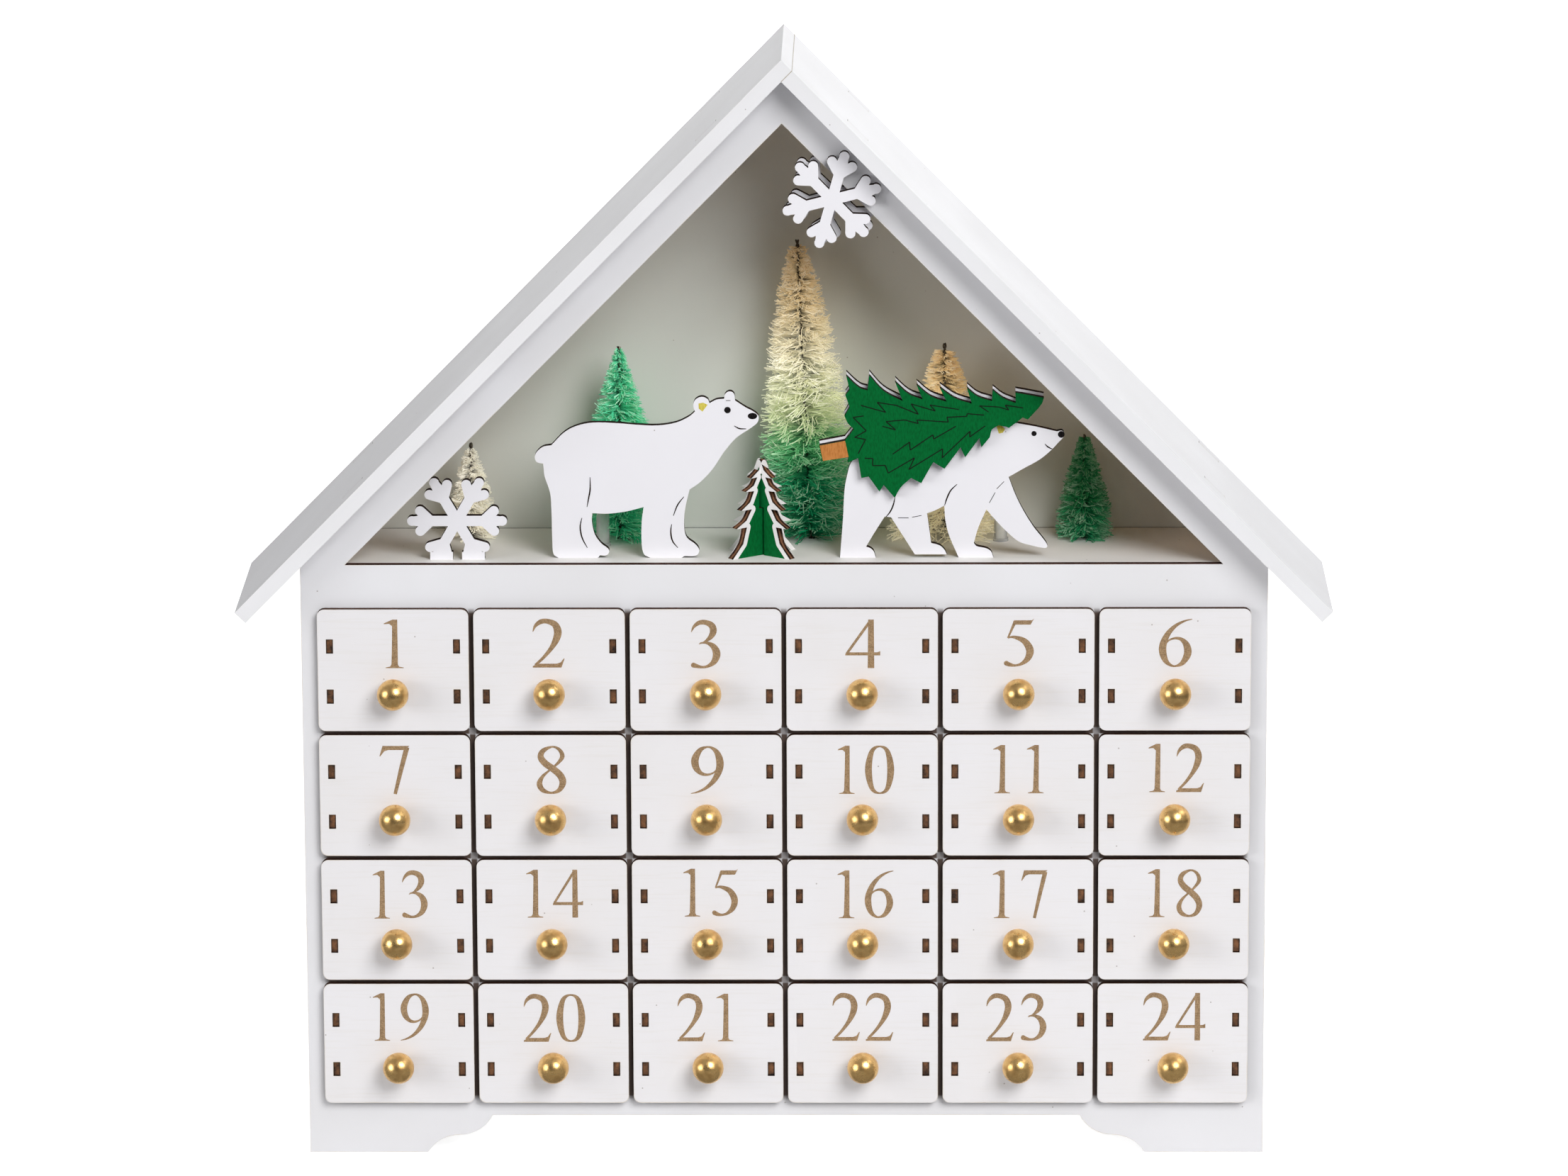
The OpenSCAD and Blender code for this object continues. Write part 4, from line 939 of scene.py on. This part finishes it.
# Strength of a painted glow on the fibres, in place of light passing through thin strands.
fibre_glow = 0.1
brush_trees = {
    "mint": {
        "tufts": 840, "rise": -0.02, "bare_wire": 0.9 * mm, "lit_pale_share": 0.45,
        "cone_shares": [(0, 0.86), (0.12, 0.98), (0.61, 0.7), (0.84, 0.36), (1, 0.1)],
        "dye": [(0, (52, 194, 136)), (0.5, (82, 216, 162)), (1, (104, 226, 176))],
    },
    "ombre": {
        "tufts": 1150, "rise": 0.08, "bare_wire": 2.6 * mm, "lit_pale_share": 0.45,
        "cone_shares": [
            (0, 0.82), (0.1, 0.95), (0.3, 1), (0.54, 0.86), (0.66, 0.74), (0.84, 0.5), (1, 0.2),
        ],
        "dye": [
            (0, (6, 134, 86)), (0.2, (26, 166, 108)), (0.33, (120, 210, 142)), (0.41, (232, 242, 196)),
            (0.6, (255, 251, 226)), (0.82, (244, 224, 180)), (1, (216, 186, 138)),
        ],
    },
    "tan": {
        "tufts": 760, "rise": 0.0, "wide": 1.3, "bare_wire": 2.6 * mm, "lit_pale_share": 0.5,
        "cone_shares": [(0, 1), (0.3, 0.86), (0.8, 0.4), (0.93, 0.28), (1, 0.18)],
        "dye": [(0, (254, 246, 216)), (0.5, (255, 238, 188)), (1, (252, 222, 166))],
    },
    "green": {
        "tufts": 680, "rise": -0.05, "bare_wire": 1.0 * mm, "lit_pale_share": 0.25,
        "cone_shares": [(0, 1), (0.25, 0.98), (0.7, 0.56), (1, 0.2)],
        "dye": [(0, (30, 142, 92)), (0.4, (26, 122, 66)), (1, (38, 130, 72))],
    },
    "cream": {
        "tufts": 350, "rise": 0.0, "bare_wire": 2.2 * mm, "lit_pale_share": 0.5,
        "cone_shares": [(0, 1), (0.4, 0.84), (0.8, 0.46), (1, 0.2)],
        "dye": [(0, (255, 249, 232)), (1, (255, 251, 238))],
    },
}


@makes_material
def sisal(tree, spec, low_z, high_z):
    """Dyed fibre whose dye changes up the tree, darker at the roots and paler at the tips as painted shade
    and light.
    """
    dye = spec["dye"]
    strand = add(tree, "Attribute")
    strand.attribute_name = "strand"
    lit = strand.outputs["Fac"]
    uneven = spread(tree, lit, 0, 1, -0.05, 0.05)
    share = calc(tree, "ADD", spread(tree, here_axes(tree)[2], low_z, high_z), uneven)
    dyes = add(tree, "ValToRGB", share)
    stops = dyes.color_ramp.elements
    for place, chart in dye[1:-1]:
        stops.new(place).color = colour(chart)
    stops[0].color = colour(dye[0][1])
    stops[len(stops) - 1].color = colour(dye[-1][1])
    dyed = dyes.outputs[0]
    # Painted shade darkens the low tones, and painted light makes the high tones paler.
    shaded = mix(tree, spread(tree, lit, 0.5, 0.15, 0, 0.85), dyed, fibre_shade_dark)
    pale = mix(tree, spec["lit_pale_share"], dyed, fibre_lit_pale)
    tone = mix(tree, spread(tree, lit, 0.55, 0.9), shaded, pale)
    return {
        "Base Color": tone,
        # Painted glow: the fibres give off a little light of their own colour.
        "Emission Color": tone,
        "Emission Strength": fibre_glow,
        "Roughness": 0.45,
        "Specular IOR Level": 0.3,
    }


def between(shares, place):
    """Value at a place on a line of straight runs through shares."""
    for (a, low), (b, high) in zip(shares, shares[1:]):
        if place <= b:
            return low + (high - low) * (place - a) / (b - a)
    return shares[-1][1]


def ring_about(centre, run, radius, sides):
    """Corners of a ring about a line."""
    one = run.orthogonal().normalized()
    two = run.normalized().cross(one)
    angles = [math.tau * k / sides for k in range(sides)]
    return [centre + (one * math.cos(a) + two * math.sin(a)) * radius for a in angles]


def tube(mesh, rings):
    """Skins rings of corners, one after another, into a closed tube."""
    for one, two in zip(rings, rings[1:]):
        for j, corner in enumerate(one):
            n = (j + 1) % len(one)
            mesh.faces.new([corner, one[n], two[n], two[j]])
    mesh.faces.new(rings[0][::-1])
    mesh.faces.new(rings[-1])


def bristles(kind, spec, foot, lean, wire_l, base_r, wall_y):
    """All fibres of one tree: tufts of three-sided strands, each strand with two kinks."""
    rng = random.Random(brush_seed + len(kind))
    points = []
    faces = []
    tones = []
    wide = spec.get("wide", 1.0)
    tuft_part, strand_part, strand_shade_part = tone_shares
    top = wire_l - spec["bare_wire"]
    for k in range(spec["tufts"]):
        up = (k + rng.random()) / spec["tufts"]
        tuft_z = skirt_z + (top - skirt_z) * up
        tuft_angle = math.tau * tuft_z / wire_pitch + math.pi * (k % 2) + rng.gauss(0, fan_turn)
        tuft_reach = base_r * between(spec["cone_shares"], up)
        tuft_kinks = [(rng.gauss(0, tuft_bend), rng.gauss(0, tuft_lift)) for _ in kink_shares]
        tuft_tone = rng.random()
        for _ in range(tuft_strands):
            angle = tuft_angle + rng.gauss(0, strand_turn)
            reach = tuft_reach * rng.uniform(trim_low, trim_high)
            out = Vector((math.cos(angle) * wide, math.sin(angle), 0))
            aside = Vector((-math.sin(angle), math.cos(angle), 0))
            root = Vector((0, 0, tuft_z + rng.gauss(0, root_slip) * mm))
            path = [foot + lean @ (root + out * wire_r)]
            for share, (kink_side, kink_up) in zip(kink_shares, tuft_kinks):
                bend = kink_side + rng.gauss(0, strand_bend)
                way = root + (out * share + aside * bend) * reach
                way.z += reach * (share * spec["rise"] + kink_up * share + rng.gauss(0, strand_lift))
                way.z = max(way.z, floor_clear)
                way = foot + lean @ way
                way.y = min(way.y, wall_y)
                path.append(way)
            run = path[-1] - path[0]
            start = len(points)
            for centre, radius in zip(path, (root_r, root_r, (root_r + tip_r) / 2, tip_r)):
                points += ring_about(centre, run, radius, 3)
            for ring in (start, start + 3, start + 6):
                for j in range(3):
                    n = (j + 1) % 3
                    faces.append((ring + j, ring + n, ring + 3 + n, ring + 3 + j))
            faces.append((start + 9, start + 10, start + 11))
            # Tone of the strand: a random share per tuft and per strand, and painted shade at the root
            # rising to painted light at the tip.
            own_tone = tuft_part * tuft_tone + strand_part * rng.random()
            for light_share in light_shares:
                tones += [own_tone + strand_shade_part * light_share] * 3
    data = bpy.data.meshes.new("bristles_" + kind)
    data.from_pydata(points, [], faces)
    data.attributes.new("strand", "FLOAT", "POINT").data.foreach_set("value", tones)
    data.update()
    return data


def twisted_wire(foot, lean, low_z, high_z):
    mesh = bmesh.new()
    steps = int((high_z - low_z) / wire_pitch * turn_steps)
    for strand in range(2):
        rings = []
        for k in range(steps + 1):
            z = low_z + (high_z - low_z) * k / steps
            a = math.tau * z / wire_pitch + math.pi * strand
            centre = Vector((math.cos(a), math.sin(a), 0)) * wire_r + Vector((0, 0, z))
            run = Vector((-math.sin(a) * wire_r, math.cos(a) * wire_r, wire_pitch / math.tau))
            corners = ring_about(foot + lean @ centre, lean @ run, wire_r * wire_fill, wire_sides)
            rings.append([mesh.verts.new(corner) for corner in corners])
        tube(mesh, rings)
    return mesh


@makes_material
def dull_metal(tree, base, roughness):
    tarnish = noise(tree, 700, 3)
    return {
        "Base Color": mix(tree, spread(tree, tarnish, 0.4, 0.7, 0, 0.5), base, scorch_dark),
        "Roughness": spread(tree, tarnish, 0.3, 0.7, roughness, roughness + 0.25),
        "Metallic": 0.9,
    }


floor_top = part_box("scene_floor")[1].z
brush_wire = dull_metal("brush_wire", wire_dark, 0.35)
ombre_lean = math.radians(-2.4)
for kind, spec in brush_trees.items():
    node = "brush_tree_" + kind
    low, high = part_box(node)
    lean = Matrix.Rotation(ombre_lean if kind == "ombre" else 0.0, 3, "Y")
    wire_l = high.z - floor_top
    base_r = (high.y - low.y) / 2
    foot = Vector(((low.x + high.x) / 2, (low.y + high.y) / 2, floor_top))
    data = bristles(kind, spec, foot, lean, wire_l, base_r, back_y - wall_clear)
    data.materials.append(sisal("sisal_" + kind, spec, floor_top, high.z))
    brush = new_object("bristles_" + kind, data)
    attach(brush, "house")
    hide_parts(node)
    wires = twisted_wire(foot, lean, low.z - floor_top, wire_l)
    new_piece("wire_" + kind, wires, brush_wire)

# Lights: two clear 4.4 mm lamps that stand on the scene floor, with their lead frame inside.
# Insulated wires run from them through the cavity to the battery box.
lamp_glass = (250, 250, 248)
lamp_dim = (242, 244, 242)
lead_silver = (196, 198, 200)
lead_cover = (206, 206, 204)
lead_cover_dim = (186, 186, 184)
skin_grit = 0.02 * mm
post_half = 0.25 * mm
cup_half = 0.6 * mm
pin_half = post_half * 2 / 3
leg_apart = 2.54 * mm
frame_foot = 0.6 * mm
cup_foot = 7 * mm
cup_full = 8.2 * mm
cup_top = 9.2 * mm
pin_foot = 8.4 * mm
pin_top = 9 * mm


@makes_material
def clear_resin(tree):
    cloud = noise(tree, 800)
    return {
        "Base Color": mix(tree, spread(tree, cloud, 0.3, 0.7), lamp_glass, lamp_dim),
        "Roughness": spread(tree, cloud, 0.3, 0.7, 0.04, 0.12),
        "Transmission Weight": 0.6,
        "IOR": 1.5,
    }


def loft(mesh, foot, sections):
    """Closed flat bar through level sections, each a height and a half width."""
    corners = ((-1, -1), (1, -1), (1, 1), (-1, 1))
    tube(mesh, [
        [mesh.verts.new(foot + Vector((half * u, post_half * v, z))) for u, v in corners]
        for z, half in sections
    ])


@makes_material
def soft_plastic(tree, base, dim, roughness=0.45, grit=skin_grit):
    """Moulded plastic with a fine spark-eroded skin."""
    skin = noise(tree, 2400)
    return {
        "Base Color": mix(tree, noise(tree, 60), base, dim),
        "Roughness": spread(tree, skin, 0.3, 0.7, roughness - 0.06, roughness + 0.1),
        "Normal": bumped(tree, skin, grit),
    }


lamp_resin = clear_resin("lamp_resin")
lead_metal = dull_metal("lead_metal", lead_silver, 0.25)
dress("lights", lambda face: int(face.center.z < floor_top - tiny), lamp_resin, lead_metal)
dress("light_leads", lambda face: 0, soft_plastic("lead_cover", lead_cover, lead_cover_dim))
lamp_spots = [(-60.2 * mm, front_y + 28.5 * mm), (71.6 * mm, front_y + 35 * mm)]
for k, (x, y) in enumerate(lamp_spots):
    frame_mesh = bmesh.new()
    foot = Vector((x, y, floor_top))
    leg = Vector((leg_apart / 2, 0, 0))
    loft(frame_mesh, foot - leg, [
        (frame_foot, post_half), (cup_foot, post_half), (cup_full, cup_half), (cup_top, cup_half),
    ])
    loft(frame_mesh, foot + leg, [
        (frame_foot, post_half), (pin_foot, post_half), (pin_top, pin_half),
    ])
    lead_frame = new_piece("lamp_frame_" + str(k + 1), frame_mesh, lead_metal)

# Battery box: two cells in an ivory moulding that a foam pad sticks to the back panel.
# A ridged door slides out sideways over the cells, and the slide switch has a bay of its own.
case_ivory = (232, 229, 220)
case_dim = (222, 218, 207)
foam_grey = (150, 150, 150)
foam_dim = (120, 120, 120)
foam_grit = 0.2 * mm
cell_green = (36, 96, 84)
cell_dim = (30, 84, 74)
slider_black = (28, 28, 30)
slider_dim = (40, 40, 42)
for name, material in (
    ("battery_box", soft_plastic("case_plastic", case_ivory, case_dim)),
    ("battery_door", soft_plastic("door_plastic", case_ivory, case_dim, 0.4)),
    ("switch_slider", soft_plastic("slider_plastic", slider_black, slider_dim, 0.4)),
    ("foam_pad", soft_plastic("foam", foam_grey, foam_dim, 0.9, foam_grit)),
    ("battery_contacts", dull_metal("nickel", lead_silver, 0.2)),
):
    dress(name, lambda face: 0, material)
cell_metal = dull_metal("cell_metal", lead_silver, 0.2)
cell_sleeve = soft_plastic("cell_sleeve", cell_green, cell_dim, 0.25)
dress("batteries", lambda face: int(abs(face.normal.x) > 0.7), cell_sleeve, cell_metal)

# Stage: a plain white floor under plain soft studio light. The main light stands high on the
# right in front, and weaker ones on the left, on the right and behind. All around looks white to
# the eye, but light bounces only off the table under the house. Bright metal mirrors a dim room.
floor_half = 6
floor_glow = 0.85
table_white = (245, 245, 245)
table_return = (205, 205, 205)
room_dark = (60, 60, 62)
table_r = 0.5
table_end = 0.65
table_dim = 0.6
air_light = 0.33
front_dim = 0.07
front_dim_from = 0.5
front_dim_to = 0.82
lamp_size = 1.4
studio_lights = {
    "key_light": ((0.95, -1.75, 1.55), 44),
    "left_light": ((-2.0, -1.25, 0.55), 20),
    "roof_light": ((1.7, 0.2, 1.9), 10),
    "back_light": ((0.05, 2.4, 0.2), 30),
}


def light_path(tree, kind):
    """1 on light of one kind, such as what the camera sees, and 0 on other light."""
    return add(tree, "LightPath").outputs[kind]


@makes_material
def table_paint(tree):
    """White to the camera; other light meets a table, and a dim room past its edge."""
    seen = light_path(tree, "Is Camera Ray")
    away = add(tree, "VectorMath", here(tree), operation="LENGTH").outputs["Value"]
    mirrored = product(tree, light_path(tree, "Is Glossy Ray"), table_dim)
    dark_share = calc(tree, "MAXIMUM", spread(tree, away, table_r, table_end), mirrored)
    bounced = mix(tree, dark_share, table_return, room_dark)
    return {
        "Base Color": mix(tree, seen, bounced, table_white),
        "Roughness": 0.9,
        "Emission Color": (1, 1, 1, 1),
        "Emission Strength": product(tree, seen, floor_glow),
    }


for name, (place, power) in studio_lights.items():
    lamp = bpy.data.lights.new(name, "AREA")
    lamp.shape = "DISK"
    lamp.size = lamp_size
    lamp.energy = power
    made = new_object(name, lamp)
    made.location = place
    made.rotation_mode = "QUATERNION"
    made.rotation_quaternion = (aim - Vector(place)).to_track_quat("-Z", "Y")
    made.visible_camera = False
floor_mesh = bmesh.new()
bmesh.ops.create_grid(floor_mesh, x_segments=8, y_segments=8, size=floor_half)
studio_floor = mesh_object("studio_floor", floor_mesh, table_paint("studio_floor"))
world = bpy.data.worlds.new("studio_air")
bpy.context.scene.world = world
world.use_nodes = True
sky = world.node_tree
frontward = dot(sky, add(sky, "TexCoord").outputs["Generated"], (0, -1, 0))
dimmed = spread(sky, frontward, front_dim_from, front_dim_to, air_light, front_dim)
air = spread(sky, light_path(sky, "Is Glossy Ray"), 0, 1, air_light, dimmed)
fill(sky, sky.nodes["Background"].inputs, {
    "Color": (1, 1, 1, 1),
    "Strength": calc(sky, "MAXIMUM", air, light_path(sky, "Is Camera Ray")),
})
bpy.context.scene.view_settings.view_transform = "Standard"
